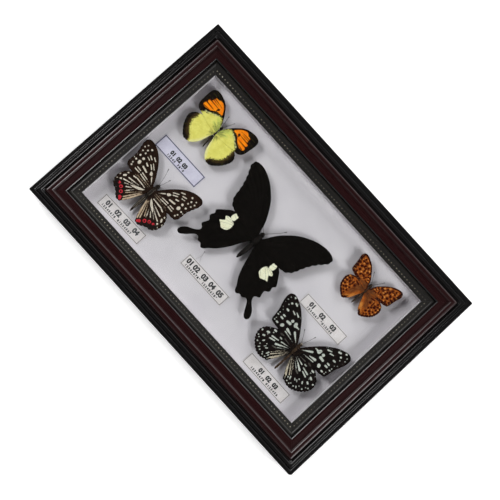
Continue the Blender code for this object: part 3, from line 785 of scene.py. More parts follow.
def build_slips():
    """The four beaded lengths of slip inside the moulding."""
    material = slip_material()
    for side in SIDES:
        mesh = sweep_side(side, slip_section(), 0.05)
        add_beads(mesh, side)
        piece = mesh.build("beaded_slip_" + side, [material])
        sharpen(piece, 40)
        stand_in(piece, "slip_" + side)


def finish_node(name, material, bevel=0.0):
    """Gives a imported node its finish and, if wanted, a small rounded edge."""
    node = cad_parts[name]
    node.data.materials.clear()
    node.data.materials.append(material)
    if bevel:
        modifier = node.modifiers.new("eased_edges", "BEVEL")
        modifier.width = bevel * MM
        modifier.segments = 2
        modifier.limit_method = "ANGLE"
        modifier.angle_limit = math.radians(50)


def finish_sheets():
    """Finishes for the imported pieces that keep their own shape: glass, boards, spacers and steel."""
    paper = board_material("mount_paper", srgb(211, 204, 210), srgb(203, 196, 203))
    foam = board_material("spacer_foam", srgb(210, 206, 210), srgb(196, 191, 196), 1.6)
    hardboard = fibreboard_material()
    steel = steel_material()
    finish_node("glass_pane", glass_material())
    finish_node("mount_board", paper)
    finish_node("backing_board", hardboard)
    for side in SIDES:
        finish_node("spacer_" + side, foam)
    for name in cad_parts:
        if name.startswith(("retaining_tab", "hanger")):
            finish_node(name, steel, 0.08)


# ---------------------------------------------------------------- labels

# name: (centre x, centre y, width, height, turn in degrees)
LABELS = {
    "orange_tip": (-114.6, 5.2, 59.0, 15.8, 0.0),
    "swallowtail": (-8.6, -57.3, 58.8, 14.0, 0.2),
    "fritillary": (101.5, 4.6, 59.2, 13.8, -0.3),
    "red_ring": (-109.8, -78.0, 58.4, 13.8, 1.3),
    "blue_tiger": (106.0, -78.0, 57.4, 13.8, -0.4),
}
# Plain numbers printed on each label: (places of the large ones along it, their height,
# first and last place of the small row, and how dark the print is)
PRINT = {
    "orange_tip": ((-10.0, -1.2, 7.2), 4.32, (-13.0, 10.5), 24),
    "swallowtail": ((-22.8, -13.7, -1.5, 9.4, 20.6), 5.52, (-24.0, 22.0), 14),
    "fritillary": ((-17.2, -2.6, 13.3), 5.04, (-19.5, 17.0), 20),
    "red_ring": ((-19.5, -6.6, 6.2, 19.0), 5.28, (-24.0, 18.0), 60),
    "blue_tiger": ((-8.2, 2.2, 11.8), 4.56, (-18.0, 20.5), 24),
}
PAPER_THICKNESS = 0.16
SHEET_CELLS = (16, 60)      # rows and columns of a label's mesh
LARGE_BASELINE = 5.9        # above the label's lower edge
LARGE_WEIGHT = 0.4          # how far a figure's outline is pushed out
SMALL_BASELINE = 2.2
SMALL_PRINT = 2.3
SMALL_PITCH = 2.5
SMALL_WEIGHT = 0.22

# Two tones of paper, the ink of its border, the border's width, and the ink its gaps lose
CREAM = (srgb(222, 214, 216), srgb(211, 202, 203), srgb(26, 24, 24), 0.62, 0.45)
LAVENDER = (srgb(209, 204, 221), srgb(197, 191, 211), srgb(12, 12, 58), 1.0, 0.0)


def paper_lift(points, seed, half_width, half_height):
    """How far the paper stands off its bed: a slight wave, and corners that lift."""
    wave = 0.06 * (1 + solid_noise(points, 16.0, seed))
    corner = (np.abs(points[:, 0]) / half_width) ** 8 * (np.abs(points[:, 1]) / half_height) ** 4
    return wave + 0.25 * corner


def figure_mesh(text, height, spot, weight):
    """Printed figures as a thin solid: its points and faces in the label's plane."""
    curve = bpy.data.curves.new("figure", "FONT")
    curve.body = text
    curve.size = height * 1.35
    curve.align_x = "CENTER"
    curve.extrude = 0.01
    curve.offset = weight
    curve.resolution_u = 3
    holder = bpy.data.objects.new("figure", curve)
    bpy.context.scene.collection.objects.link(holder)
    bpy.context.view_layer.update()
    evaluated = holder.evaluated_get(bpy.context.evaluated_depsgraph_get())
    mesh = bpy.data.meshes.new_from_object(evaluated)
    points = np.array([vertex.co[:] for vertex in mesh.vertices])
    faces = [tuple(polygon.vertices) for polygon in mesh.polygons]
    bpy.data.objects.remove(holder, do_unlink=True)
    bpy.data.meshes.remove(mesh)
    points[:, :2] += np.array(spot)
    return points, faces


def printed_figures(name, lower_edge):
    """The figures on a label, each as (text, height, spot, weight)."""
    places, large, (first, last), _ = PRINT[name]
    figures = []
    for number, place in enumerate(places, 1):
        figures.append((f"0{number}", large, (place, lower_edge + LARGE_BASELINE), LARGE_WEIGHT))
    count = int((last - first) / SMALL_PITCH) + 1
    for i in range(count):
        spot = (first + i * SMALL_PITCH, lower_edge + SMALL_BASELINE)
        if i != count // 2:
            figures.append((str((i + 1) % 10), SMALL_PRINT, spot, SMALL_WEIGHT))
    return figures


def label_mesh(name, half_width, half_height):
    """A slightly wavy sheet of paper with raised ink."""
    seed = list(LABELS).index(name) + 3
    rows, columns = SHEET_CELLS
    across = np.linspace(-half_width, half_width, columns + 1)
    upward = np.linspace(-half_height, half_height, rows + 1)
    flat = np.array([(x, y) for y in upward for x in across])
    middle = paper_lift(flat, seed, half_width, half_height) + PAPER_THICKNESS / 2
    points, faces = doubled(np.column_stack([flat, middle]), lattice_faces(rows, columns), PAPER_THICKNESS)
    mesh = Mesh()
    mesh.add(points, faces, sheet=points * np.array([1, 1, 0]))
    for figure in printed_figures(name, -half_height):
        points, faces = figure_mesh(*figure)
        points[:, 2] += paper_lift(points[:, :2], seed, half_width, half_height) + PAPER_THICKNESS + 0.01
        mesh.add(points, faces, slot=1)
    return mesh


def build_label(name):
    """One paper label, glued a little out of true."""
    x, y, width, height, turn = LABELS[name]
    half_width, half_height = width / 2, height / 2
    kind = "lavender_paper" if name == "orange_tip" else "cream_paper"
    light, dark, ink, *border = LAVENDER if kind == "lavender_paper" else CREAM
    paper = paper_material("paper_" + name, light, dark, ink, half_width, half_height, *border)
    darkness = PRINT[name][3]
    print_ink = ink_material("ink_" + name, srgb(darkness, darkness, darkness + 4))
    label = label_mesh(name, half_width, half_height).build("paper_label_" + name, [paper, print_ink])
    label.data.shade_flat()
    bed = node_box("label_" + name)[0][2] - 0.2
    place = Matrix.Translation((x * MM, y * MM, bed * MM))
    label.matrix_world = place @ Matrix.Rotation(math.radians(turn), 4, "Z")
    stand_in(label, "label_" + name)


# ---------------------------------------------------------------- butterflies

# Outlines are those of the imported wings, for the right-hand wing, from the middle of the thorax.
# "body" lists sections from the head back, as (y, x, half-width, half-height), and "veins" gives,
# for each wing, the two corners at the end of its cell and the places where the veins end.
# "turn" is how far, in degrees, the left fore- and hindwing are turned from the right-hand ones.

SHAPES = {
    "orange_tip": {
        "center": (-111.0, 52.0),
        "lift": 4.0,
        "dihedral": 4.0,
        "turn": (5.5, 0.5),
        "fore": [
            (1.0, 2.5), (3.0, 8.0), (5.3, 12.0), (9.5, 17.2), (15.0, 22.5), (20.0, 25.3), (25.0, 26.5),
            (30.0, 26.8), (34.3, 25.6), (36.6, 22.5), (36.8, 17.0), (36.0, 11.0), (35.4, 6.5),
            (33.8, 2.6), (30.5, 0.2), (26.0, -0.3), (15.0, -2.0), (1.0, -2.5),
        ],
        "hind": [
            (1.0, 0.0), (12.0, 2.0), (21.0, 1.6), (27.5, -0.8), (30.3, -3.2), (32.2, -6.3),
            (32.6, -9.5), (31.8, -13.0), (30.0, -17.0), (27.5, -21.0), (24.5, -24.2), (21.5, -27.0),
            (18.5, -28.5), (14.5, -28.3), (10.8, -26.8), (7.5, -23.2), (5.0, -18.5), (3.4, -13.0),
            (2.3, -8.0), (1.0, -4.0),
        ],
        "body": [
            (8.3, 0.0, 0.4, 0.4), (7.6, 0.0, 1.1, 1.1), (6.2, 0.0, 1.3, 1.3), (5.2, 0.0, 1.0, 1.2),
            (3.6, 0.0, 1.7, 2.1), (0.0, 0.0, 2.0, 2.4), (-3.6, 0.0, 1.6, 2.0), (-5.4, 0.0, 0.9, 1.1),
            (-8.5, 0.0, 1.1, 1.2), (-14.0, 0.2, 0.9, 1.0), (-19.0, 0.9, 0.6, 0.6),
            (-20.3, 1.2, 0.2, 0.2),
        ],
        "veins": {
            "fore": (
                (15.5, 16.5),
                (17.0, 11.5),
                [
                    (20, 25.3), (28, 26.7), (34, 25.6), (36.6, 21), (36.7, 16), (36.2, 11.5), (35.2, 6),
                    (33, 1.8), (27, -0.2),
                ],
            ),
            "hind": (
                (16.0, -4.0),
                (13.5, -9.5),
                [
                    (21, 1.6), (29, -2), (32.5, -9), (31.5, -14), (28.5, -19.5), (24, -24.7),
                    (19, -28.4), (13, -27.8), (8, -24),
                ],
            ),
        },
    },
    "swallowtail": {
        "center": (-3.0, 8.0),
        "lift": 5.2,
        "dihedral": 1.4,
        "turn": (9.0, 9.3),
        "fore": [
            (1.5, 2.0), (4.8, 7.5), (9.0, 15.5), (14.2, 22.8), (24.0, 33.0), (34.0, 39.7), (44.0, 44.2),
            (54.0, 46.4), (60.5, 46.2), (65.3, 44.5), (67.3, 41.5), (66.6, 37.5), (64.0, 33.7),
            (60.0, 28.5), (55.5, 21.2), (52.2, 14.0), (50.0, 7.5), (48.0, 3.8), (45.0, 0.4),
            (41.0, -1.7), (36.0, -2.2), (20.0, -3.0), (1.5, -3.0),
        ],
        "hind": [
            (1.5, 0.0), (15.0, 3.0), (30.0, 2.0), (37.0, -3.2), (40.0, -5.8), (43.3, -10.2),
            (46.2, -14.2), (48.0, -17.8), (46.0, -20.4), (47.0, -25.6), (43.2, -29.0), (43.8, -33.0),
            (44.6, -37.0), (40.6, -39.6), (40.5, -43.0), (44.0, -47.2), (48.8, -51.0), (52.0, -55.5),
            (52.9, -59.5), (51.0, -62.0), (47.6, -61.4), (44.0, -57.0), (40.8, -51.8), (38.3, -48.4),
            (35.2, -47.6), (32.0, -49.8), (28.4, -49.2), (25.0, -51.4), (22.0, -49.6), (19.8, -45.5),
            (14.8, -38.5), (11.5, -31.5), (8.8, -24.5), (6.4, -16.0), (4.0, -9.0), (1.5, -4.0),
        ],
        "body": [
            (10.6, 0.0, 0.8, 0.8), (9.8, 0.0, 1.8, 1.6), (7.8, 0.0, 2.2, 1.9), (6.4, 0.0, 1.8, 1.8),
            (4.4, 0.0, 3.2, 3.0), (0.0, 0.0, 3.7, 3.4), (-4.5, 0.0, 3.0, 2.9), (-6.5, 0.0, 2.3, 2.3),
            (-11.0, -0.2, 2.8, 2.4), (-17.0, -0.4, 2.6, 2.2), (-23.0, -0.8, 1.8, 1.6),
            (-26.4, -1.0, 0.6, 0.6),
        ],
        "veins": {
            "fore": (
                (31, 28),
                (30, 15),
                [
                    (38, 41.8), (46, 45), (54, 46.3), (62, 46), (67, 41), (64, 33.7), (60, 28.5),
                    (56, 22), (52.5, 15), (49.5, 6.5), (42, -1.3),
                ],
            ),
            "hind": (
                (20, -8),
                (16.5, -17),
                [
                    (37, -3.2), (46.2, -14.2), (46.5, -24), (44.2, -36), (50, -58), (35.2, -47.8),
                    (28.4, -49.4), (21.5, -48.8), (13.8, -36.5),
                ],
            ),
        },
    },
    "fritillary": {
        "center": (109.3, 57.0),
        "lift": 4.2,
        "dihedral": 4.0,
        "turn": (0.0, -1.0),
        "fore": [
            (1.0, 2.0), (2.8, 6.0), (4.3, 10.0), (8.0, 14.2), (12.0, 18.5), (16.0, 21.5), (20.0, 23.5),
            (24.5, 24.9), (27.6, 24.4), (29.4, 22.0), (29.5, 19.0), (28.4, 15.0), (27.8, 11.0),
            (27.2, 7.0), (26.5, 4.2), (25.0, 2.8), (20.0, 1.4), (12.0, 0.0), (1.0, -1.5),
        ],
        "hind": [
            (1.0, 0.0), (10.0, 2.0), (18.0, 1.5), (22.5, -0.8), (24.7, -3.8), (25.4, -7.5),
            (24.7, -11.5), (23.4, -15.0), (21.0, -18.0), (18.3, -20.5), (15.8, -22.3), (13.8, -23.3),
            (12.0, -23.6), (9.8, -21.8), (7.0, -18.8), (4.8, -14.5), (3.0, -10.0), (1.0, -5.0),
        ],
        "body": [
            (8.2, 0.0, 0.5, 0.5), (7.5, 0.0, 1.3, 1.2), (6.0, 0.0, 1.5, 1.4), (4.9, 0.0, 1.2, 1.3),
            (3.2, 0.0, 2.1, 2.2), (0.0, 0.0, 2.5, 2.5), (-3.4, 0.0, 2.0, 2.1), (-5.2, -0.2, 1.3, 1.4),
            (-9.0, -0.5, 1.6, 1.6), (-14.0, -0.9, 1.3, 1.3), (-18.0, -1.1, 0.8, 0.8),
            (-19.4, -1.2, 0.3, 0.3),
        ],
        "veins": {
            "fore": (
                (13, 13.5),
                (13.5, 9),
                [
                    (17, 22.1), (22, 24.2), (27.5, 24.3), (29.5, 20), (28.5, 15), (27.9, 11), (27.2, 7),
                    (25.5, 3), (19, 1.2),
                ],
            ),
            "hind": (
                (12, -4),
                (10.5, -8.5),
                [
                    (17, 1.6), (23, -1.2), (25.4, -7), (24.3, -13), (21, -18), (17, -21.4),
                    (12.5, -23.6), (8, -20),
                ],
            ),
        },
    },
    "red_ring": {
        "center": (-110.0, -37.0),
        "lift": 4.6,
        "dihedral": 3.5,
        "turn": (4.5, 7.5),
        "fore": [
            (1.5, 2.0), (4.5, 6.0), (7.0, 10.0), (11.0, 15.0), (16.0, 20.5), (21.0, 25.0), (26.0, 28.2),
            (31.0, 30.4), (36.0, 31.4), (40.0, 31.3), (43.0, 29.6), (44.0, 26.5), (43.5, 22.5),
            (41.3, 16.5), (39.7, 11.5), (39.2, 6.0), (38.9, 1.0), (37.0, -2.4), (33.0, -3.6),
            (26.0, -3.4), (15.0, -3.0), (1.5, -3.0),
        ],
        "hind": [
            (1.5, 0.0), (12.0, 1.5), (22.0, -1.0), (27.0, -4.4), (30.2, -7.8), (32.5, -12.0),
            (33.3, -16.5), (32.8, -20.5), (31.0, -24.5), (27.5, -27.8), (23.5, -28.6), (20.0, -30.2),
            (17.0, -32.5), (13.5, -33.2), (10.6, -32.2), (9.2, -29.5), (7.0, -25.0), (5.0, -19.0),
            (3.4, -13.0), (1.5, -6.0),
        ],
        "body": [
            (10.0, 0.5, 0.6, 0.6), (9.0, 0.5, 1.7, 1.4), (7.2, 0.5, 2.0, 1.6), (5.8, 0.4, 1.7, 1.6),
            (3.6, 0.2, 2.9, 2.6), (-0.6, 0.0, 3.4, 2.9), (-5.0, 0.0, 2.8, 2.6), (-7.6, -0.2, 1.7, 1.8),
            (-13.0, -0.3, 2.0, 2.0), (-20.0, -0.4, 1.8, 1.7), (-26.5, -0.4, 1.2, 1.1),
            (-29.6, -0.4, 0.4, 0.4),
        ],
        "veins": {
            "fore": (
                (22.5, 17.5),
                (22, 9.8),
                [
                    (26, 28.1), (33, 30.9), (40, 31.2), (44, 26), (42.5, 20), (40.5, 14), (39.4, 8.5),
                    (39, 2.5), (35.5, -3),
                ],
            ),
            "hind": (
                (19, -7.5),
                (17, -15),
                [
                    (24, -2.4), (31, -9), (33.3, -15), (33, -20.5), (29.5, -26.2), (23.5, -28.8),
                    (17.5, -32.2), (11.5, -32.6), (7.5, -26),
                ],
            ),
        },
    },
    "blue_tiger": {
        "center": (104.5, -35.0),
        "lift": 4.6,
        "dihedral": 3.5,
        "turn": (0.5, 0.0),
        "fore": [
            (1.5, 1.0), (4.0, 5.2), (7.5, 10.3), (12.5, 16.3), (17.5, 21.8), (22.5, 26.0), (27.5, 29.6),
            (32.5, 32.1), (37.5, 33.8), (41.5, 34.0), (44.8, 32.0), (45.9, 28.5), (45.3, 23.5),
            (43.5, 18.0), (41.6, 13.0), (40.6, 8.0), (40.0, 3.5), (38.6, 0.2), (35.0, -0.9),
            (28.0, -1.5), (15.0, -2.5), (1.5, -3.5),
        ],
        "hind": [
            (1.5, -1.0), (15.0, 1.0), (25.0, -0.5), (30.5, -3.2), (35.5, -6.6), (38.4, -10.3),
            (39.8, -15.0), (39.1, -19.3), (36.8, -24.0), (33.0, -28.0), (28.0, -31.3), (23.5, -32.8),
            (19.0, -32.9), (15.0, -31.6), (12.0, -30.8), (10.6, -28.2), (8.0, -24.0), (5.4, -19.0),
            (3.2, -14.0), (1.5, -7.0),
        ],
        "body": [
            (7.2, 0.0, 0.6, 0.6), (6.4, 0.0, 1.5, 1.3), (4.8, 0.0, 1.8, 1.5), (3.5, 0.0, 1.5, 1.5),
            (1.6, 0.0, 2.6, 2.5), (-2.0, 0.0, 3.1, 2.8), (-6.0, 0.0, 2.4, 2.4), (-8.6, 0.0, 1.3, 1.4),
            (-14.0, 0.0, 1.3, 1.4), (-21.0, -0.1, 1.1, 1.2), (-28.0, -0.3, 1.2, 1.2),
            (-30.6, -0.3, 0.5, 0.5),
        ],
        "veins": {
            "fore": (
                (23, 18),
                (22, 8),
                [
                    (27.5, 29.5), (36, 33.4), (42, 33.9), (45.9, 28), (44.5, 21), (42.3, 14.5),
                    (40.9, 9.5), (40.2, 4.5), (36, -0.7),
                ],
            ),
            "hind": (
                (21, -7.5),
                (19, -15.5),
                [
                    (29, -2.4), (37, -8.5), (39.7, -14.5), (38.6, -20.5), (35, -26), (29, -30.8),
                    (22.5, -32.9), (15.5, -31.8), (9, -25.5),
                ],
            ),
        },
    },
}


def spots(*triples):
    """Round marks, each as (x, y, radius)."""
    return [("spot", *triple) for triple in triples]


def streaks(*sixes):
    """Long marks, each as (start x, start y, end x, end y, start radius, end radius)."""
    return [("streak", *six) for six in sixes]


def patch(*points):
    """A mark with a smooth outline through these points."""
    return [("patch", points)]


MARKS = {
    "orange_tip": {
        "fore": {
            "yellow": patch(
                (1, -4), (2.6, 4), (4.2, 8.5), (6.2, 11.6), (8.4, 13), (10.5, 12.8), (12.6, 11.6),
                (14.6, 10.4), (17, 8.8), (19.4, 7.2), (21.6, 5.6), (24, 4), (25.4, 1.6), (26.4, -1),
                (16, -4),
            ),
            "orange": patch(
                (10.6, 14.3), (12.6, 17.6), (15.8, 20.9), (19.6, 22.9), (22.8, 22.6), (24.4, 21.3),
                (27, 20.8), (28.2, 19.2), (27.6, 17.6), (28.7, 16.2), (28, 14.9), (30.8, 14),
                (31, 12.2), (30, 10.9), (31.5, 9.2), (31.4, 6.8), (29.4, 5.9), (26.4, 6.2), (23.4, 7.2),
                (20.6, 9.2), (18.4, 11.4), (15.6, 13.3),
            ),
            "dot": spots((17, 15.2, 1.0), (17.7, 14.1, 0.7))
            + streaks(
                (18.6, 15.6, 31, 14.9, 0.1, 0.42), (20.4, 11.1, 32, 10.6, 0.1, 0.45),
                (16.5, 19.0, 29, 19.2, 0.06, 0.3), (19.5, 17.4, 28.4, 17.4, 0.05, 0.22),
                (22.4, 7.8, 30, 6.4, 0.05, 0.3), (16.8, 16.2, 17.6, 12.8, 0.3, 0.3),
            ),
            "pale": streaks((12.5, 11.0, 17, 8.4, 0.3, 0.4), (19, 6.8, 24.2, 3.8, 0.3, 0.3)),
            "green": streaks((2, 4, 9.5, 9.6, 2.2, 1.6), (3, 1, 10, 4.2, 1.6, 1.2)),
            "dusted": streaks(
                (1.6, 2.6, 7.6, 7.2, 0.7, 0.3), (1.8, 4.2, 7.0, 10.0, 0.5, 0.2),
                (2, 1.2, 9.0, 4.0, 0.6, 0.2), (2, 0, 7.5, 1.0, 0.5, 0.2),
            ),
        },
        "hind": {
            "brown": patch(
                (1, 4), (27, 2), (28.2, -2), (29, -6), (29.2, -9), (28.6, -12.6), (27.2, -16.4),
                (25, -19.6), (22.4, -22.4), (19.4, -24.4), (16, -26.2), (14.4, -30), (6, -28),
                (-2, -12),
            ),
            "yellow": patch(
                (1, 4), (25, 2), (25.4, -2), (25.9, -5), (26, -8.5), (25.6, -12), (24.2, -15),
                (22.8, -17.4), (20.4, -19.6), (18.4, -21.1), (16.2, -22.6), (15, -24.2), (13.9, -25.4),
                (13.4, -28.6), (12.8, -30), (6, -28), (-2, -12),
            ),
            "pale": patch(
                (1, -4), (3.2, -8), (5, -13), (7.6, -19), (12.0, -26), (12.2, -29), (6, -26), (0, -12),
            ),
            "dusted": streaks((1.5, -2, 5.5, -5.5, 0.9, 0.3), (1.5, -3.5, 4.5, -9, 0.5, 0.2)),
        },
    },
    "swallowtail": {
        "fore": {},
        "hind": {
            "cream": patch(
                (29.2, -2.6), (31.5, -2.0), (33.6, -3.0), (34.2, -6.0), (33.6, -8.8), (31.4, -9.6),
                (28.8, -9.2), (28.4, -6.4),
            )
            + patch(
                (26.6, -10.4), (29.6, -9.9), (33, -9.9), (36, -11.2), (37.3, -13.0), (35, -14.9),
                (34.6, -15.9), (36.2, -18), (37.9, -20.4), (35.4, -20.9), (32.4, -22.4), (30.4, -23.3),
                (27.8, -22.2), (24.9, -19.6), (24.4, -16.2), (25.1, -12.6),
            ),
        },
    },
    "fritillary": {
        "fore": {
            "light": spots(
                (7.2, 8.6, 0.9), (5.4, 6.4, 0.9), (7.6, 12.0, 0.7), (11.8, 14.6, 1.2),
                (15.6, 18.3, 1.6), (13.6, 10.2, 1.0), (24.2, 21.0, 0.8), (24.9, 18.4, 0.8),
                (26.6, 16.2, 0.6), (20.6, 21.0, 0.7), (26.2, 12.4, 0.6), (25.6, 8.6, 0.6),
                (25.0, 5.6, 0.6), (18.2, 11.6, 1.0), (17.4, 8.2, 1.1), (21.4, 16.2, 1.0),
                (23.6, 12.4, 0.8), (22.6, 8.0, 0.8), (19.6, 5.2, 0.9), (14.0, 13.0, 0.9),
                (24.0, 6.2, 0.6), (12.6, 5.0, 0.7),
            ),
            "dark": spots(
                (11.9, 12.4, 1.2), (14.6, 16.0, 1.1), (18.2, 15.4, 1.1), (21.3, 12.8, 1.3),
                (20.2, 9.2, 1.3), (21.2, 5.6, 1.0), (23.2, 17.6, 1.0), (19.2, 18.8, 1.0),
                (16.6, 5.8, 0.9), (22.8, 20.2, 1.0), (24.8, 14.6, 0.9), (24.4, 10.6, 0.9),
                (24.2, 7.2, 0.7), (12.7, 7.3, 1.1), (23.6, 4.0, 0.6),
            )
            + streaks(
                (9.6, 11.6, 9.4, 14.6, 0.6, 0.6), (6.2, 10.4, 8.6, 9.6, 0.45, 0.6),
                (5.0, 8.0, 6.8, 7.3, 0.4, 0.5), (4.4, 5.0, 8.2, 5.0, 0.5, 0.5),
                (9.6, 8.4, 10.6, 5.6, 0.5, 0.5), (16.2, 14.0, 15.6, 10.0, 0.7, 0.6),
                (16.6, 20.8, 21.0, 23.2, 0.7, 0.8), (10.6, 16.2, 13.4, 18.6, 0.6, 0.5),
                (14.4, 7.6, 17.0, 6.6, 0.5, 0.5), (17.6, 13.4, 20.4, 14.2, 0.4, 0.4),
                (18.4, 17.2, 21.6, 18.2, 0.4, 0.4), (17.6, 3.2, 24.6, 4.0, 0.5, 0.5),
            ),
            "dusk": streaks((1, 1, 8.5, 3.0, 3.4, 1.8), (9, 2.4, 17, 2.4, 1.6, 0.9)),
        },
        "hind": {
            "light": spots(
                (22.1, -2.1, 1.1), (22.8, -5.8, 0.95), (22.9, -9.2, 0.8), (21.5, -13.0, 0.95),
                (19.8, -16.2, 0.8), (16.6, -18.9, 0.7), (13.9, -21.3, 0.6), (13.6, -3.4, 0.8),
                (16.6, -3.0, 0.8), (19.0, -4.4, 0.7), (18.0, -10.4, 0.9), (15.6, -12.6, 0.8),
                (19.6, -8.8, 0.6), (13.4, -8.6, 0.7), (16.0, -15.4, 0.7),
            ),
            "dark": spots(
                (11.9, -6.0, 1.2), (18.3, -6.8, 1.3), (16.0, -8.7, 1.0), (17.4, -12.9, 1.3),
                (14.4, -15.1, 1.1), (20.9, -4.0, 0.9), (21.3, -7.6, 1.0), (20.8, -11.0, 1.0),
                (19.4, -14.4, 0.9), (17.2, -16.9, 0.8), (14.2, -11.2, 0.9), (18.8, -1.8, 0.9),
                (14.8, -18.6, 0.8),
            )
            + streaks(
                (14.8, -3.4, 15.0, -7.2, 0.55, 0.5), (9.8, -2.2, 13.6, -1.4, 0.6, 0.6),
                (16.6, -5.2, 19.4, -4.6, 0.35, 0.35),
            ),
            "dusk": streaks((1, -1, 9.5, -4, 3.4, 3.0), (7, -4, 11.0, -12.5, 2.8, 2.2)),
            "pale": streaks((1.0, -8.5, 6.2, -18.5, 1.1, 0.9)),
            "warm": streaks((6.0, -13.0, 11.5, -21.5, 1.4, 1.6)),
        },
    },
    "red_ring": {
        "fore": {
            "cream": spots(
                (32.5, 25.4, 1.3), (38.3, 25.2, 1.0), (34.8, 21.8, 1.2), (39.5, 21.8, 1.1),
                (42.1, 21.4, 0.5), (33.8, 18.2, 1.2), (38.0, 18.0, 1.1), (41.0, 17.0, 0.5),
                (30.8, 13.3, 1.6), (35.8, 13.2, 1.3), (35.4, 7.5, 1.2), (37.9, 7.3, 0.8),
                (34.9, 2.9, 1.1), (33.8, 0.3, 1.2), (38.2, 3.0, 0.5), (38.4, 11.4, 0.5),
                (42.2, 26.0, 0.4),
            )
            + streaks(
                (30.6, 7.6, 30.8, 8.5, 2.0, 1.9), (21.4, 21.1, 24.9, 22.6, 0.85, 0.8),
                (24.9, 19.4, 28.7, 20.6, 0.85, 0.8), (26.1, 17.1, 29.4, 17.7, 0.75, 0.7),
                (15.6, 14.8, 20.8, 18.0, 0.75, 0.7), (17.3, 13.1, 21.7, 15.5, 0.9, 0.7),
                (22.6, 12.1, 25.4, 13.0, 1.0, 0.9), (18.7, 7.3, 24.8, 8.2, 1.15, 1.1),
                (5.6, 3.3, 10.8, 8.1, 0.4, 0.95), (12.2, 3.4, 20.2, 3.8, 0.7, 0.8),
                (23.2, 3.7, 28.0, 3.7, 0.8, 0.7), (12.2, 1.0, 20.2, 1.5, 0.7, 0.8),
                (22.6, 1.4, 28.6, 1.0, 0.8, 0.8), (20.2, 20.0, 22.0, 21.6, 0.3, 0.3),
            )
            + patch(
                (11.4, 9.4), (12.4, 10.6), (14.0, 12.1), (16.3, 12.0), (15.9, 10.0), (14.8, 8.2),
                (12.8, 8.4),
            ),
            "beige": streaks(
                (4.5, 1.0, 12, 1.0, 0.4, 0.5), (4.5, -0.7, 22, -1.4, 0.35, 0.45),
                (8.0, 2.6, 12, 3.3, 0.3, 0.4), (6, -2.2, 24, -2.6, 0.2, 0.3),
            ),
        },
        "hind": {
            "cream": streaks(
                (7.0, -3.9, 18.6, -4.6, 0.7, 0.95), (20.1, -5.3, 22.8, -6.2, 1.0, 0.9),
                (10.8, -6.9, 24.0, -11.1, 0.4, 0.95), (12.0, -9.0, 19.5, -11.4, 0.3, 0.4),
                (13.5, -10.4, 26.0, -16.2, 0.45, 0.95), (17.4, -14.2, 22.4, -17.8, 0.45, 0.6),
                (14.2, -14.6, 18.4, -18.6, 0.5, 0.9), (10.6, -12.6, 14.8, -20.2, 0.35, 0.75),
                (28.3, -8.5, 28.6, -9.1, 1.0, 0.9), (28.0, -12.1, 29.2, -14.0, 1.3, 1.1),
                (28.0, -18.0, 28.3, -18.5, 1.2, 1.1), (32.2, -15.2, 32.4, -16.4, 0.7, 0.7),
                (30.6, -20.2, 31.4, -21.0, 0.6, 0.6), (29.4, -24.8, 30.2, -24.4, 0.5, 0.4),
                (24.2, -26.8, 25.4, -26.9, 0.45, 0.4), (18.6, -29.4, 19.4, -29.0, 0.35, 0.35),
            )
            + patch(
                (5.0, -4.9), (8.2, -6.4), (12.4, -9.4), (18.6, -14.9), (16.2, -14.4), (12.2, -12.6),
                (8.4, -10.2), (5.8, -7.2),
            ),
            "beige": streaks(
                (5.2, -8.6, 13.6, -22.2, 0.3, 0.7), (4.6, -9.6, 11.6, -26.4, 0.5, 0.9),
                (3.8, -10.6, 9.6, -28.4, 0.5, 1.15), (3.0, -9.8, 6.8, -24.6, 0.7, 1.1),
                (12.8, -18.0, 15.6, -22.0, 0.3, 0.5),
            ),
            "black": spots(
                (25.4, -21.6, 3.3), (21.4, -22.6, 3.3), (17.2, -25.6, 3.3), (13.4, -29.8, 3.0),
                (28.0, -22.4, 2.6), (20.0, -28.0, 2.6), (25.0, -26.2, 2.4), (15.8, -31.2, 2.0),
            ),
            "red": spots(
                (25.6, -21.4, 1.6), (21.3, -22.6, 2.0), (17.3, -25.5, 2.1), (13.6, -29.4, 1.9),
                (12.2, -30.8, 1.5),
            ),
            "pupil": spots((21.3, -22.8, 0.8), (17.4, -25.7, 0.9), (26.5, -22.2, 0.7)),
        },
    },
    "blue_tiger": {
        "fore": {
            "blue": spots(
                (23.0, 14.5, 1.8), (13.2, 13.6, 0.9), (42.5, 26.0, 0.8), (38.1, 23.0, 0.8),
                (40.6, 17.3, 0.6), (37.0, 4.8, 0.7), (37.0, 2.5, 0.8), (42.6, 22.4, 0.4),
                (38.2, 15.2, 0.7), (30.8, 15.0, 0.4), (38.6, 11.3, 0.8), (36.6, 26.0, 1.3),
                (41.9, 29.6, 0.8), (20.2, 23.4, 0.4),
            )
            + streaks(
                (17.6, 13.6, 18.4, 15.2, 2.1, 1.8), (14.6, 13.8, 16.6, 13.2, 0.9, 1.3),
                (22.8, 10.9, 26.6, 10.4, 1.6, 1.3), (27.2, 4.4, 27.8, 3.6, 1.9, 1.7),
                (4.0, 1.8, 13.2, 8.6, 0.3, 1.3), (14.0, 3.9, 20.6, 5.2, 0.5, 1.5),
                (8.0, 0.5, 20.6, 2.3, 0.3, 0.75), (22.4, 21.7, 26.4, 23.3, 1.0, 0.6),
                (26.6, 20.7, 30.2, 21.8, 0.9, 0.6), (19.4, 22.0, 20.8, 24.0, 0.4, 0.5),
                (31.6, 28.2, 33.6, 28.9, 1.1, 1.1), (38.0, 32.1, 38.8, 32.3, 1.0, 1.0),
                (34.0, 18.4, 35.6, 18.6, 1.1, 1.1), (32.0, 12.1, 34.0, 12.0, 1.0, 1.0),
                (32.0, 8.9, 34.0, 8.9, 1.1, 1.1), (32.8, 2.4, 34.0, 2.4, 1.1, 1.1),
                (37.9, 8.6, 38.8, 8.7, 0.8, 0.8), (30.9, 29.8, 32.0, 30.8, 0.3, 0.4),
                (23.0, 24.6, 25.0, 25.4, 0.3, 0.3),
            ),
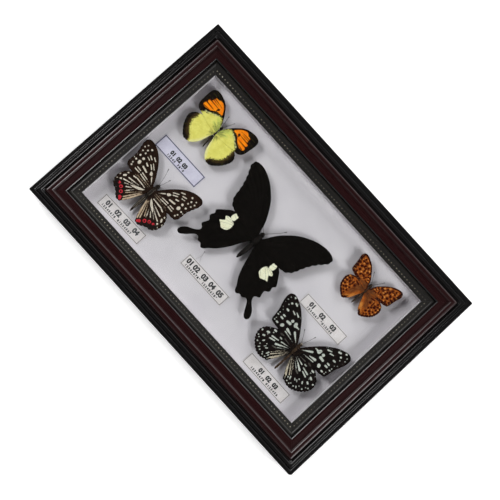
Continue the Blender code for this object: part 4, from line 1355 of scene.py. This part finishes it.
            "notch": spots((15.9, 15.2, 0.8)),
            "grey": streaks((19, -2.0, 22, -2.2, 0.7, 0.5)),
        },
        "hind": {
            "blue": spots(
                (27.6, -7.0, 0.8), (33.3, -6.0, 0.7), (37.4, -13.3, 1.1), (36.8, -19.3, 0.9),
                (34.6, -20.6, 0.8), (29.0, -24.3, 0.8), (32.9, -24.3, 1.0), (24.0, -19.6, 0.8),
                (21.0, -28.2, 0.8), (24.8, -28.6, 0.9), (19.8, -30.0, 0.9), (16.4, -29.6, 0.9),
                (30.6, -12.4, 0.6), (37.9, -16.4, 0.4), (13.2, -29.4, 0.6),
            )
            + streaks(
                (26.8, -4.2, 28.6, -4.3, 1.1, 1.1), (17.3, -5.4, 19.4, -5.4, 0.8, 0.7),
                (30.8, -10.2, 32.4, -10.9, 1.2, 1.2), (31.8, -15.6, 33.2, -16.4, 1.1, 1.0),
                (28.2, -19.0, 29.2, -20.4, 0.9, 0.8), (20.4, -22.0, 21.8, -23.4, 0.7, 0.7),
                (22.8, -21.6, 24.2, -23.0, 0.6, 0.6), (26.9, -26.6, 28.0, -27.8, 0.7, 0.7),
                (16.3, -24.0, 17.3, -26.4, 0.9, 0.7), (14.4, -25.6, 15.2, -27.0, 0.7, 0.6),
                (5.5, -5.2, 15.2, -7.6, 0.2, 0.85), (18.6, -8.7, 26.0, -10.4, 0.65, 1.0),
                (21.0, -11.8, 26.4, -13.4, 0.8, 0.95), (5.4, -6.6, 12.6, -10.2, 0.2, 0.8),
                (13.0, -10.6, 17.8, -13.2, 0.9, 1.25), (6.0, -8.6, 14.0, -14.4, 0.2, 0.6),
            ),
            "grey": streaks(
                (8.4, -2.9, 15, -2.7, 0.5, 0.6), (20, -2.1, 22, -2.1, 0.6, 0.5),
                (14.6, -15.4, 18.6, -16.8, 0.5, 0.5),
            ),
            "beige": streaks(
                (2.6, -9.6, 14.0, -23.6, 0.3, 0.7), (3.6, -9.0, 15.4, -22.2, 0.2, 0.4),
                (2.2, -11.0, 12.0, -26.4, 0.3, 0.8), (2.0, -13.0, 10.4, -26.0, 0.3, 0.7),
                (6.4, -10.4, 12.6, -17.6, 0.2, 0.4), (11.2, -25.6, 13.0, -28.6, 0.5, 0.5),
            ),
        },
    },
}

# "layers" lists a wing's marks from the lowest up, as (name, two colours, softness, raggedness), and
# "trims" says how much smaller a mark is worn than drawn.  "vein" is (colour, half-width, strength),
# "fringe" the scales along the edge, "fur" (light, dark, pale), "hair" a count, "legs" their reach.
FINISHES = {
    "orange_tip": {
        "ground": (srgb(11, 8, 8), srgb(22, 16, 13)),
        "layers": [
            ("brown", srgb(66, 50, 27), srgb(44, 32, 20), 0.9, 1.8),
            ("yellow", srgb(230, 222, 118), srgb(216, 206, 98), 0.6, 2.1),
            ("pale", srgb(232, 226, 162), srgb(222, 214, 140), 1.0, 0.8),
            ("green", srgb(206, 210, 106), srgb(192, 198, 96), 1.6, 1.2),
            ("dusted", srgb(158, 164, 88), srgb(132, 138, 72), 0.9, 1.1),
            ("orange", srgb(255, 146, 22), srgb(244, 118, 12), 0.25, 0.45),
            ("dot", srgb(60, 12, 8), srgb(40, 8, 6), 0.2, 0.1),
        ],
        "trims": {"dot": -0.2, "yellow": 0.55, "brown": 0.4},
        "vein": (srgb(186, 174, 76), 0.12, 0.3),
        "fur": (srgb(60, 52, 46), srgb(24, 20, 19), srgb(206, 200, 190)),
        "hair": 900,
        "legs": 4.0,
        "antennae": [
            [(0.5, 8.0), (2.4, 12.5), (4.4, 17.0), (5.6, 20.0)],
            [(-0.5, 8.0), (-1.8, 12.5), (-3.0, 17.0), (-3.6, 20.4)],
        ],
    },
    "swallowtail": {
        "ground": (srgb(8, 6, 5), srgb(14, 11, 9)),
        "layers": [("cream", srgb(240, 238, 214), srgb(228, 224, 192), 0.15, 0.25)],
        "vein": (srgb(9, 7, 7), 0.3, 0.5),
        "fur": (srgb(30, 24, 22), srgb(11, 9, 8), srgb(60, 54, 50)),
        "hair": 2600,
        "legs": 7.0,
        "antennae": [
            [(1.0, 10.4), (5.6, 16.0), (10.6, 22.0), (14.8, 28.6)],
            [(-1.0, 10.4), (-6.4, 15.6), (-12.2, 21.6), (-17.0, 28.0)],
        ],
    },
    "fritillary": {
        "ground": (srgb(168, 88, 30), srgb(130, 60, 20)),
        "layers": [
            ("dusk", srgb(120, 68, 34), srgb(98, 52, 26), 1.6, 1.2),
            ("warm", srgb(196, 124, 56), srgb(176, 102, 40), 1.2, 1.0),
            ("pale", srgb(208, 170, 124), srgb(188, 146, 100), 0.9, 0.6),
            ("border", srgb(52, 19, 11), srgb(36, 13, 10), 0.4, 0.7),
            ("light", srgb(216, 146, 76), srgb(198, 122, 56), 0.25, 0.35),
            ("rim_spot", srgb(176, 128, 92), srgb(150, 104, 70), 0.25, 0.15),
            ("dark", srgb(56, 16, 8), srgb(42, 12, 8), 0.3, 0.4),
        ],
        "trims": {"light": 0.25, "dark": -0.18},
        "vein": (srgb(84, 36, 14), 0.26, 0.7),
        "fringe": srgb(80, 52, 40),
        "fur": (srgb(78, 58, 42), srgb(28, 25, 26), srgb(120, 96, 70)),
        "hair": 1500,
        "legs": 4.5,
        "antennae": [
            [(0.6, 7.8), (3.0, 11.5), (5.6, 15.5), (7.4, 19.0)],
            [(-0.6, 7.8), (-3.0, 11.5), (-5.8, 15.2), (-8.0, 18.6)],
        ],
    },
    "red_ring": {
        "ground": (srgb(28, 17, 13), srgb(41, 26, 19)),
        "layers": [
            ("black", srgb(20, 17, 16), srgb(30, 24, 22), 0.8, 0.5),
            ("beige", srgb(200, 178, 154), srgb(176, 150, 126), 0.25, 0.3),
            ("cream", srgb(224, 213, 200), srgb(206, 192, 176), 0.2, 0.25),
            ("red", srgb(208, 56, 66), srgb(184, 38, 50), 0.3, 0.3),
            ("pupil", srgb(60, 12, 18), srgb(42, 12, 16), 0.25, 0.15),
        ],
        "trims": {"cream": 0.3, "beige": 0.25, "red": 0.26, "pupil": -0.1},
        "vein": (srgb(24, 16, 12), 0.14, 0.75),
        "fringe": srgb(26, 20, 18),
        "fur": (srgb(58, 48, 42), srgb(22, 18, 17), srgb(142, 132, 120)),
        "hair": 1900,
        "legs": 6.0,
        "antennae": [
            [(0.9, 9.6), (2.2, 13.0), (3.2, 17.0), (4.3, 21.4)],
            [(0.1, 9.6), (-1.2, 15.0), (-3.0, 21.5), (-5.6, 27.9)],
        ],
    },
    "blue_tiger": {
        "ground": (srgb(13, 10, 10), srgb(25, 17, 16)),
        "layers": [
            ("grey", srgb(108, 104, 98), srgb(86, 80, 76), 0.6, 0.4),
            ("beige", srgb(200, 188, 170), srgb(178, 164, 144), 0.25, 0.3),
            ("blue", srgb(200, 201, 194), srgb(180, 183, 175), 0.2, 0.25),
            ("notch", srgb(24, 20, 18), srgb(34, 27, 24), 0.2, 0.1),
        ],
        "trims": {"blue": 0.2, "beige": 0.17},
        "vein": (srgb(20, 16, 15), 0.14, 0.7),
        "fringe": srgb(24, 20, 19),
        "fur": (srgb(84, 64, 48), srgb(32, 24, 21), srgb(214, 208, 196)),
        "hair": 1700,
        "legs": 6.0,
        "antennae": [
            [(0.6, 6.8), (2.0, 11.0), (3.6, 16.2), (4.9, 21.4)],
            [(-0.6, 6.8), (-3.0, 10.6), (-5.8, 14.8), (-8.6, 18.7)],
        ],
    },
}

# Pale marks on the bodies, as marks in plan
BODY_MARKS = {
    "orange_tip": spots(
        (0.0, -4.4, 0.5), (0.5, 1.4, 0.5), (-0.7, -1.6, 0.45), (-0.5, 3.6, 0.4), (0.7, -0.8, 0.3),
    ),
    "swallowtail": [],
    "fritillary": [],
    "red_ring": streaks(
        (0.9, 3.4, 0.9, -4.6, 0.25, 0.25), (2.3, 2.6, 2.2, -4.0, 0.2, 0.2),
        (-1.4, 3.2, -1.5, -4.2, 0.15, 0.15),
    )
    + streaks((-1.2, -9, -1.0, -24, 0.2, 0.15), (0.8, -9, 0.4, -24, 0.2, 0.15)),
    "blue_tiger": spots(
        (0.9, 6.2, 0.25), (-0.9, 6.2, 0.25), (0.0, 4.9, 0.22), (1.5, 1.0, 0.3), (-1.5, 1.0, 0.3),
        (0.8, -1.0, 0.25), (-0.8, -1.0, 0.25), (1.8, -3.4, 0.3), (-1.8, -3.4, 0.3),
    ),
}

WING_THICKNESS = 0.16
WING_SPACING = {
    "orange_tip": 0.62,
    "swallowtail": 0.85,
    "fritillary": 0.6,
    "red_ring": 0.65,
    "blue_tiger": 0.68,
}
SCALLOPS = {
    ("orange_tip", "hind"): (0.5, 3.6),
    ("red_ring", "hind"): (0.7, 4.2),
    ("blue_tiger", "hind"): (0.8, 3.4),
    ("fritillary", "hind"): (0.4, 2.8),
    ("swallowtail", "fore"): (0.9, 6.4),
    ("red_ring", "fore"): (0.4, 4.6),
}
PACKED_WING_MIDDLE = {"fore": 0.65, "hind": 0.25}     # above the wing's lift, as packed


def mark_depth(points, marks):
    """Signed distance from the nearest of the marks: negative inside one."""
    depth = np.full(len(points), FAR)
    for kind, *data in marks:
        if kind == "spot":
            here = np.linalg.norm(points - np.array(data[:2]), axis=1) - data[2]
        elif kind == "streak":
            start, end, (first, last) = np.array(data[:2]), np.array(data[2:4]), data[4:]
            along = end - start
            t = np.clip(((points - start) @ along) / (along @ along), 0, 1)
            away = np.linalg.norm(points - start - t[:, None] * along, axis=1)
            here = away - (first + (last - first) * t)
        else:
            here = depth_in_loop(points, smooth_loop(data[0], 4))
        depth = np.minimum(depth, here)
    return depth


def vein_lines(root, veins):
    """The cell and the veins that leave it, each as a chain of points."""
    upper, lower, ends = np.array(veins[0]), np.array(veins[1]), np.array(veins[2], float)
    notch = (upper + lower) / 2 - 0.12 * ((upper + lower) / 2 - root)
    around = np.array([root + 0.55 * (upper - root), root + 0.8 * (upper - root), upper, notch, lower,
                       root + 0.75 * (lower - root), root + 0.5 * (lower - root)])
    lines = [np.array([root, around[1], upper, notch, lower, around[-2], root])]
    places = np.linspace(0, len(around) - 1, len(ends))
    for place, end in zip(places, ends):
        start = np.array([np.interp(place, range(len(around)), around[:, axis]) for axis in (0, 1)])
        outward = start - root
        reach = np.linalg.norm(end - start)
        bend = start + 0.5 * reach * outward / np.linalg.norm(outward)
        t = np.linspace(0, 1, 9)[:, None]
        lines.append((1 - t) ** 2 * start + 2 * t * (1 - t) * bend + t * t * end)
    return lines


def fill_outline(outline, spacing, rng):
    """Triangles on an even, slightly shaken lattice inside a closed outline."""
    low, high = outline.min(axis=0), outline.max(axis=0)
    rows = np.arange(low[1], high[1], spacing * 0.87)
    lattice = np.array([(x + (spacing / 2 if row % 2 else 0), y) for row, y in enumerate(rows)
                        for x in np.arange(low[0], high[0], spacing)])
    lattice += rng.uniform(-0.12, 0.12, lattice.shape) * spacing
    keep = depth_in_loop(lattice, outline) < -0.55 * spacing
    every = np.vstack([outline, lattice[keep]])
    count = len(outline)
    edges = [(i, (i + 1) % count) for i in range(count)]
    made = delaunay_2d_cdt([Vector(point) for point in every.tolist()], edges, [], 1, 1e-5)
    return np.array([point[:] for point in made[0]]), [tuple(face) for face in made[2]]


def wing_height(flat, world, part, vein):
    """Height of the wing's middle over its packed slope: fluted between veins and gently warped."""
    fluting = -0.20 * (1 - np.exp(-(vein / 1.6) ** 2))
    if part == "fore":
        fluting = fluting - 0.2 * np.clip((2.5 - flat[:, 1]) / 4, 0, 1)
    warp = 0.22 * solid_noise(world, 26.0, 4.0) + 0.05 * solid_noise(world, 6.0, 9.0)
    return fluting + warp + (0.12 if part == "fore" else -0.02)


def scalloped(loop, depth, pitch):
    """Small waves along the outer edge of a wing, away from the body."""
    forward = np.roll(loop, -1, axis=0) - np.roll(loop, 1, axis=0)
    length = np.linalg.norm(forward, axis=1)
    outward = np.column_stack([-forward[:, 1], forward[:, 0]]) / length[:, None]
    steps = np.linalg.norm(loop - np.roll(loop, 1, axis=0), axis=1)
    wave = np.abs(np.sin(np.cumsum(steps) * TAU / 2 / pitch)) - 0.6
    away_from_body = np.clip((np.linalg.norm(loop, axis=1) - 18) / 4, 0, 1)
    on_outer_edge = np.clip((outward[:, 0] + 0.3 - 1.2 * outward[:, 1]) / 0.3, 0, 1)
    return loop + outward * (wave * depth * away_from_body * on_outer_edge)[:, None]


def wing_outline(name, part, side):
    """The wing's edge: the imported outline, a little ragged, with its scallops."""
    loop = even_steps(smooth_loop(SHAPES[name][part], 8), WING_SPACING[name])
    ragged = np.column_stack([solid_noise(loop, 1.3, 2 + side), solid_noise(loop, 1.3, 6 + side)])
    loop = loop + 0.10 * ragged
    return scalloped(loop, *SCALLOPS[name, part]) if (name, part) in SCALLOPS else loop


def wing_values(name, part, flat, loop):
    """What the wing's material reads from the mesh: distances from veins, edge and marks."""
    root = np.array([0.5, 0.5 if part == "fore" else -1.5])
    vein = np.full(len(flat), FAR)
    for line in vein_lines(root, SHAPES[name]["veins"][part]):
        vein = np.minimum(vein, distance_to_line(flat, line))
    values = {"vein": vein, "edge": -depth_in_loop(flat, loop)}
    trims = FINISHES[name].get("trims", {})
    for layer, *_ in FINISHES[name]["layers"]:
        values[layer] = mark_depth(flat, MARKS[name][part].get(layer, [])) + trims.get(layer, 0.0)
    if name == "fritillary":
        values.update(border_values(flat, values["edge"], part))
    return values


def spread(name, part, side, flat, vein):
    """The wing's middle surface in place on the board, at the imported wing's slope."""
    shape = SHAPES[name]
    turn = math.radians(shape["turn"][0 if part == "fore" else 1]) if side < 0 else 0.0
    x = side * (flat[:, 0] * math.cos(turn) - flat[:, 1] * math.sin(turn))
    y = flat[:, 0] * math.sin(turn) + flat[:, 1] * math.cos(turn)
    world = np.column_stack([x, y]) + np.array(shape["center"])
    rise = np.abs(x) * math.tan(math.radians(shape["dihedral"]))
    z = WING_BASE + shape["lift"] + PACKED_WING_MIDDLE[part] + rise + wing_height(flat, world, part, vein)
    return np.column_stack([world, z])


def add_wing(mesh, name, part, side, rng):
    """One wing of a butterfly, with its marks as values on the mesh."""
    loop = wing_outline(name, part, side)
    flat, faces = fill_outline(loop, WING_SPACING[name], rng)
    values = wing_values(name, part, flat, loop)
    surface = spread(name, part, side, flat, values["vein"])
    if side < 0:
        faces = [face[::-1] for face in faces]
    points, faces = doubled(surface, faces, WING_THICKNESS)
    mesh.add(points, faces, **{key: np.tile(value, 2) for key, value in values.items()})
    return surface, flat


# The fritillary's dark border: its widths, the forewing's tip and the angle from spot to spot
FORE_BORDER = 2.9
HIND_BORDER = 2.3
COSTA_WIDTH = 1.2
INNER_BORDER = 0.1
FORE_TIP = (28.5, 22.5)
RIM_SPOT_ANGLE = 13.0


def border_values(flat, edge, part):
    """The fritillary's dark border and the small light spots that run inside it on the forewing."""
    x, y = flat[:, 0], flat[:, 1]
    if part == "hind":
        width = np.where(y > -2.0, COSTA_WIDTH, np.where(x > 9.0, HIND_BORDER, INNER_BORDER))
        return {"border": edge - width, "rim_spot": np.full(len(flat), FAR)}
    costa = y > 0.9 * x - 2
    outer = x > 12.0
    width = np.where(costa, COSTA_WIDTH, np.where(outer, FORE_BORDER, INNER_BORDER))
    width = width + 2.0 * np.exp(-np.linalg.norm(flat - np.array(FORE_TIP), axis=1) / 3.0)
    angle = np.degrees(np.arctan2(y - 10, x - 10))
    beat = np.abs((angle / RIM_SPOT_ANGLE) % 1.0 - 0.5)
    spot = 0.5 * (np.hypot((edge - 1.0) / 0.3, beat / 0.13) - 1.0)
    return {"border": edge - width, "rim_spot": np.where(outer & ~costa, spot, FAR)}


BODY_SIDES = 26
THORAX, WAIST = 5, 7          # the stations of a body's list that are its thorax and its waist


def body_skin(stations):
    """A smooth loft through the body's stations, head first, with grooves between its segments."""
    points = []
    rings = smooth_line(stations, 5)
    for y, x_mid, half_width, half_height in rings:
        groove = 1 - 0.05 * max(0.0, math.cos(y * TAU / 2.2)) if y < -7 else 1.0
        for angle in TAU * np.arange(BODY_SIDES) / BODY_SIDES:
            across, upward = groove * half_width * math.cos(angle), groove * half_height * math.sin(angle)
            points.append((x_mid + across, y, upward))
    points = np.array(points)
    return points * (1 + 0.03 * solid_noise(points, 1.1, 3.0))[:, None], loft_faces(len(rings), BODY_SIDES)


def add_body(mesh, name, rng):
    """Thorax, abdomen and head, their hair, eyes, antennae and legs."""
    shape, finish = SHAPES[name], FINISHES[name]
    deepest = max(station[3] for station in shape["body"])
    center = np.array([*shape["center"], WING_BASE + deepest])
    points, faces = body_skin(shape["body"])
    points[:, 2] = np.maximum(points[:, 2], -deepest)
    pale = np.where(points[:, 2] > 0, mark_depth(points[:, :2], BODY_MARKS[name]), FAR)
    mesh.add(points + center, faces, slot=1, pale=pale)
    add_body_hair(mesh, shape, finish["hair"], center, rng)
    for side in (-1, 1):
        add_face(mesh, shape["body"], center, side)
    add_antennae(mesh, shape, finish["antennae"], center)
    add_legs(mesh, shape, finish["legs"], center, deepest)


def add_face(mesh, stations, center, side):
    """One eye and the palp beside it."""
    front, middle = stations[0][:2]
    y, x, half_width, half_height = stations[2]
    spot = np.array([x + side * half_width * 0.72, y + 0.2, half_height * 0.25])
    mesh.add(*ball(spot + center, (half_width * 0.42, half_width * 0.55, half_width * 0.5)), slot=2)
    root = np.array([middle + 0.25 * side, front - 0.8, 0.2])
    tip = np.array([middle + 0.35 * side, front + 0.6, 0.5])
    mesh.add(*tube(smooth_line([root, tip], 4) + center, [0.22, 0.26, 0.24, 0.18, 0.06], 7), slot=1)


def unit(vectors):
    """The vectors at length one."""
    return vectors / np.linalg.norm(vectors, axis=1)[:, None]


def add_body_hair(mesh, shape, count, center, rng):
    """Short hair, thick on the thorax and head and thin on the abdomen, combed backwards."""
    stations = np.array(shape["body"])
    ys, *sizes = stations[np.argsort(stations[:, 0])].T
    front, waist, end = stations[0, 0] - 1.0, stations[WAIST, 0], stations[-1, 0] + 1.0
    on_thorax = rng.random(count) < 0.78
    y = np.where(on_thorax, rng.uniform(waist, front, count), rng.uniform(end, waist, count))
    x_mid, half_width, half_height = (np.interp(y, ys, size) for size in sizes)
    angle = rng.uniform(-0.35, math.pi + 0.35, count)
    roots = 0.99 * np.column_stack([x_mid + half_width * np.cos(angle), y, half_height * np.sin(angle)])
    outward = np.column_stack([np.cos(angle), np.zeros(count), np.sin(angle)])
    sideways = rng.normal(0, 0.25, count)
    backwards = np.where(y > waist, -0.7, -1.4) + rng.normal(0, 0.3, count)
    comb = np.column_stack([sideways, backwards, rng.normal(0, 0.2, count)])
    direction = unit(outward * np.where(on_thorax, 0.7, 0.3)[:, None] + comb)
    length = np.where(on_thorax, rng.uniform(0.5, 1.5, count), rng.uniform(0.3, 0.8, count))
    length *= stations[THORAX, 2] / 2.8
    points, faces = hairs(roots + center, roots + center + direction * length[:, None], 0.045)
    mesh.add(points, faces, slot=1)


def add_wing_hair(mesh, surface, flat, name, rng):
    """Longer hair that lies on the wings near their roots."""
    reach = 9.0 if name == "swallowtail" else 6.5
    near = np.flatnonzero((np.linalg.norm(flat, axis=1) < reach) & (flat[:, 0] > 1.5))
    chosen = rng.choice(near, min(len(near), 160), replace=False)
    roots = surface[chosen] + np.array([0, 0, 0.06])
    outward = unit(surface[chosen, :2] - np.array(SHAPES[name]["center"]))
    rise = rng.uniform(0.05, 0.28, len(chosen))
    direction = np.column_stack([outward + rng.normal(0, 0.18, outward.shape), rise])
    length = rng.uniform(1.0, 2.6, len(chosen))
    points, faces = hairs(roots, roots + direction * length[:, None], 0.04)
    mesh.add(points, faces, slot=1)


def add_antennae(mesh, shape, paths, center):
    """Two thin antennae that end in a slender club."""
    head_top = shape["body"][1][3] * 0.5
    for path in paths:
        rise = np.linspace(head_top, head_top + 1.0, len(path))
        line = smooth_line(np.column_stack([path, rise]), 9) + center
        share = np.linspace(0, 1, len(line))
        club = np.clip((share - 0.84) / 0.1, 0, 1) * np.clip((1.03 - share) / 0.05, 0.3, 1)
        mesh.add(*tube(line, 0.21 - 0.06 * share + 0.3 * club, 7), slot=2)


def add_legs(mesh, shape, reach, center, deepest):
    """Three pairs of thin legs folded out on the board under the thorax."""
    hip = shape["body"][THORAX][2] * 0.5
    for side in (-1, 1):
        for place, sweep in ((2.2, 0.8), (0.0, 0.1), (-2.2, -0.8)):
            start = np.array([side * hip, place, -deepest * 0.55])
            knee = start + np.array([side * reach * 0.45, sweep * reach * 0.3, -deepest * 0.05])
            foot = np.array([side * (hip + reach), place + sweep * reach * 0.9, -deepest + 0.15])
            toe = foot + np.array([side * 0.8, sweep * 0.8, 0.0])
            line = smooth_line([start, knee, foot, toe], 4) + center
            mesh.add(*tube(line, np.linspace(0.24, 0.09, len(line)), 6), slot=2)


def build_butterfly(name):
    """One set butterfly: its wings, body, hair, antennae and legs as one piece."""
    rng = np.random.default_rng(list(SHAPES).index(name) + 11)
    wings = wing_material(name + "_wing", FINISHES[name])
    fur = fur_material(name + "_fur", *FINISHES[name]["fur"])
    hard = chitin_material(name + "_chitin", srgb(30, 24, 21), srgb(14, 11, 10))
    mesh = Mesh()
    for part in ("hind", "fore"):
        for side in (1, -1):
            surface, flat = add_wing(mesh, name, part, side, rng)
            add_wing_hair(mesh, surface, flat, name, rng)
    add_body(mesh, name, rng)
    piece = mesh.build("specimen_" + name, [wings, fur, hard])
    stand_in(piece, "butterfly_" + name)


FRAGMENT = (-29.5, -38.5)     # where the loose fragment lies, and how its two threads run and bow
THREADS = (((-0.5, -10.6), 1.1), ((4.7, -11.2), -0.9))


def build_fragment():
    """A broken-off bit with two thin threads, lying loose on the board above the middle label."""
    dark = chitin_material("loose_fragment_chitin", srgb(70, 62, 58), srgb(38, 32, 30))
    spot = np.array([*FRAGMENT, BOARD_TOP + 0.32])
    mesh = Mesh()
    mesh.add(*ball(spot, (0.5, 0.42, 0.26)))
    for run, bow in THREADS:
        run = np.array([*run, 0.1])
        middle = run / 2 + np.array([bow, 0.2, 0.35])
        line = smooth_line([spot, spot + middle, spot + run], 7)
        mesh.add(*tube(line, np.linspace(0.11, 0.06, len(line)), 6))
    piece = mesh.build("loose_fragment", [dark])
    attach(piece, "root")


# ---------------------------------------------------------------- camera, lights and floor

CAMERA_RIGHT = Vector((0.67259, 0.73590, 0.07794))
CAMERA_UP = Vector((-0.74001, 0.66853, 0.07387))
CAMERA_BACK = Vector((0.00226, -0.10737, 0.99422))
CAMERA_PLACE = Vector((0.00215, -0.1125, 1.0237))     # metres
CAMERA_LENS = 72.52

# Each softbox: azimuth and elevation in degrees, width and height in metres, and power in watts
SOFTBOXES = {
    "left_softbox": (180, 36, 0.8, 0.8, 31.5),
    "right_softbox": (0, 36, 0.8, 0.8, 31.5),
    "top_softbox": (90, 28, 2.4, 1.1, 25.0),
    "bottom_softbox": (270, 42, 1.2, 0.5, 1.5),
}
SOFTBOX_DISTANCE = 2.1
FLOOR_HALF = 4000.0
FLOOR_Z = -0.05
FLOOR_CELLS = 8
FLOOR_GLOW = 0.35


def add_camera():
    """The camera looks down at the frame, which lies turned in its view."""
    data = bpy.data.cameras.new("camera")
    data.lens = CAMERA_LENS
    data.sensor_width = 36.0
    data.clip_start = 0.05
    data.clip_end = 20.0
    camera = bpy.data.objects.new("camera", data)
    axes = Matrix((CAMERA_RIGHT, CAMERA_UP, CAMERA_BACK)).transposed()
    camera.matrix_world = Matrix.Translation(CAMERA_PLACE) @ axes.to_4x4()
    bpy.context.scene.collection.objects.link(camera)
    bpy.context.scene.camera = camera


def add_softbox(name, azimuth, elevation, width, height, power):
    """An area light that looks at the middle of the frame."""
    azimuth, elevation = math.radians(azimuth), math.radians(elevation)
    level = math.cos(elevation)
    toward = Vector((level * math.cos(azimuth), level * math.sin(azimuth), math.sin(elevation)))
    data = bpy.data.lights.new(name, "AREA")
    data.shape = "RECTANGLE"
    data.size = width
    data.size_y = height
    data.energy = power
    light = bpy.data.objects.new(name, data)
    light.location = toward * SOFTBOX_DISTANCE
    light.rotation_euler = light.location.to_track_quat("Z", "Y").to_euler()
    bpy.context.scene.collection.objects.link(light)


def add_world():
    """A dark room overhead, so that the glass stays clear, that grows paler towards the walls."""
    world = bpy.data.worlds.new("studio")
    world.use_nodes = True
    tree = world.node_tree
    direction = tree.nodes.new("ShaderNodeTexCoord")
    axes = tree.nodes.new("ShaderNodeSeparateXYZ")
    fade = tree.nodes.new("ShaderNodeMapRange")
    fade.interpolation_type = "SMOOTHSTEP"
    for name, value in (("From Min", 0.25), ("From Max", 0.75), ("To Min", 0.4), ("To Max", 0.008)):
        fade.inputs[name].default_value = value
    tree.links.new(direction.outputs["Generated"], axes.inputs[0])
    tree.links.new(axes.outputs[2], fade.inputs["Value"])
    background = tree.nodes["Background"]
    background.inputs["Color"].default_value = (1.0, 1.0, 1.0, 1.0)
    tree.links.new(fade.outputs[0], background.inputs["Strength"])
    bpy.context.scene.world = world


def add_lights():
    """The softboxes and the room."""
    for name, settings in SOFTBOXES.items():
        add_softbox(name, *settings)
    add_world()
    bpy.context.scene.view_settings.view_transform = "Standard"


def add_floor():
    """A plain pale sheet under the frame."""
    paint = Paint("pale_floor")
    cloud = paint.noise(paint.place(), 300.0, 2.0)
    paper = paint.mix(cloud, (0.95, 0.95, 0.95, 1), (0.93, 0.93, 0.93, 1))
    paint.set(Base_Color=paper, Roughness=0.9, Emission_Color=paper, Emission_Strength=FLOOR_GLOW)
    steps = np.linspace(-FLOOR_HALF, FLOOR_HALF, FLOOR_CELLS + 1)
    mesh = Mesh()
    mesh.add([(x, y, FLOOR_Z) for y in steps for x in steps], lattice_faces(FLOOR_CELLS, FLOOR_CELLS))
    floor = mesh.build("floor", [paint.material])


def main():
    build_moulding()
    build_slips()
    finish_sheets()
    for name in LABELS:
        build_label(name)
    for name in SHAPES:
        build_butterfly(name)
    build_fragment()
    add_camera()
    add_lights()
    add_floor()


main()
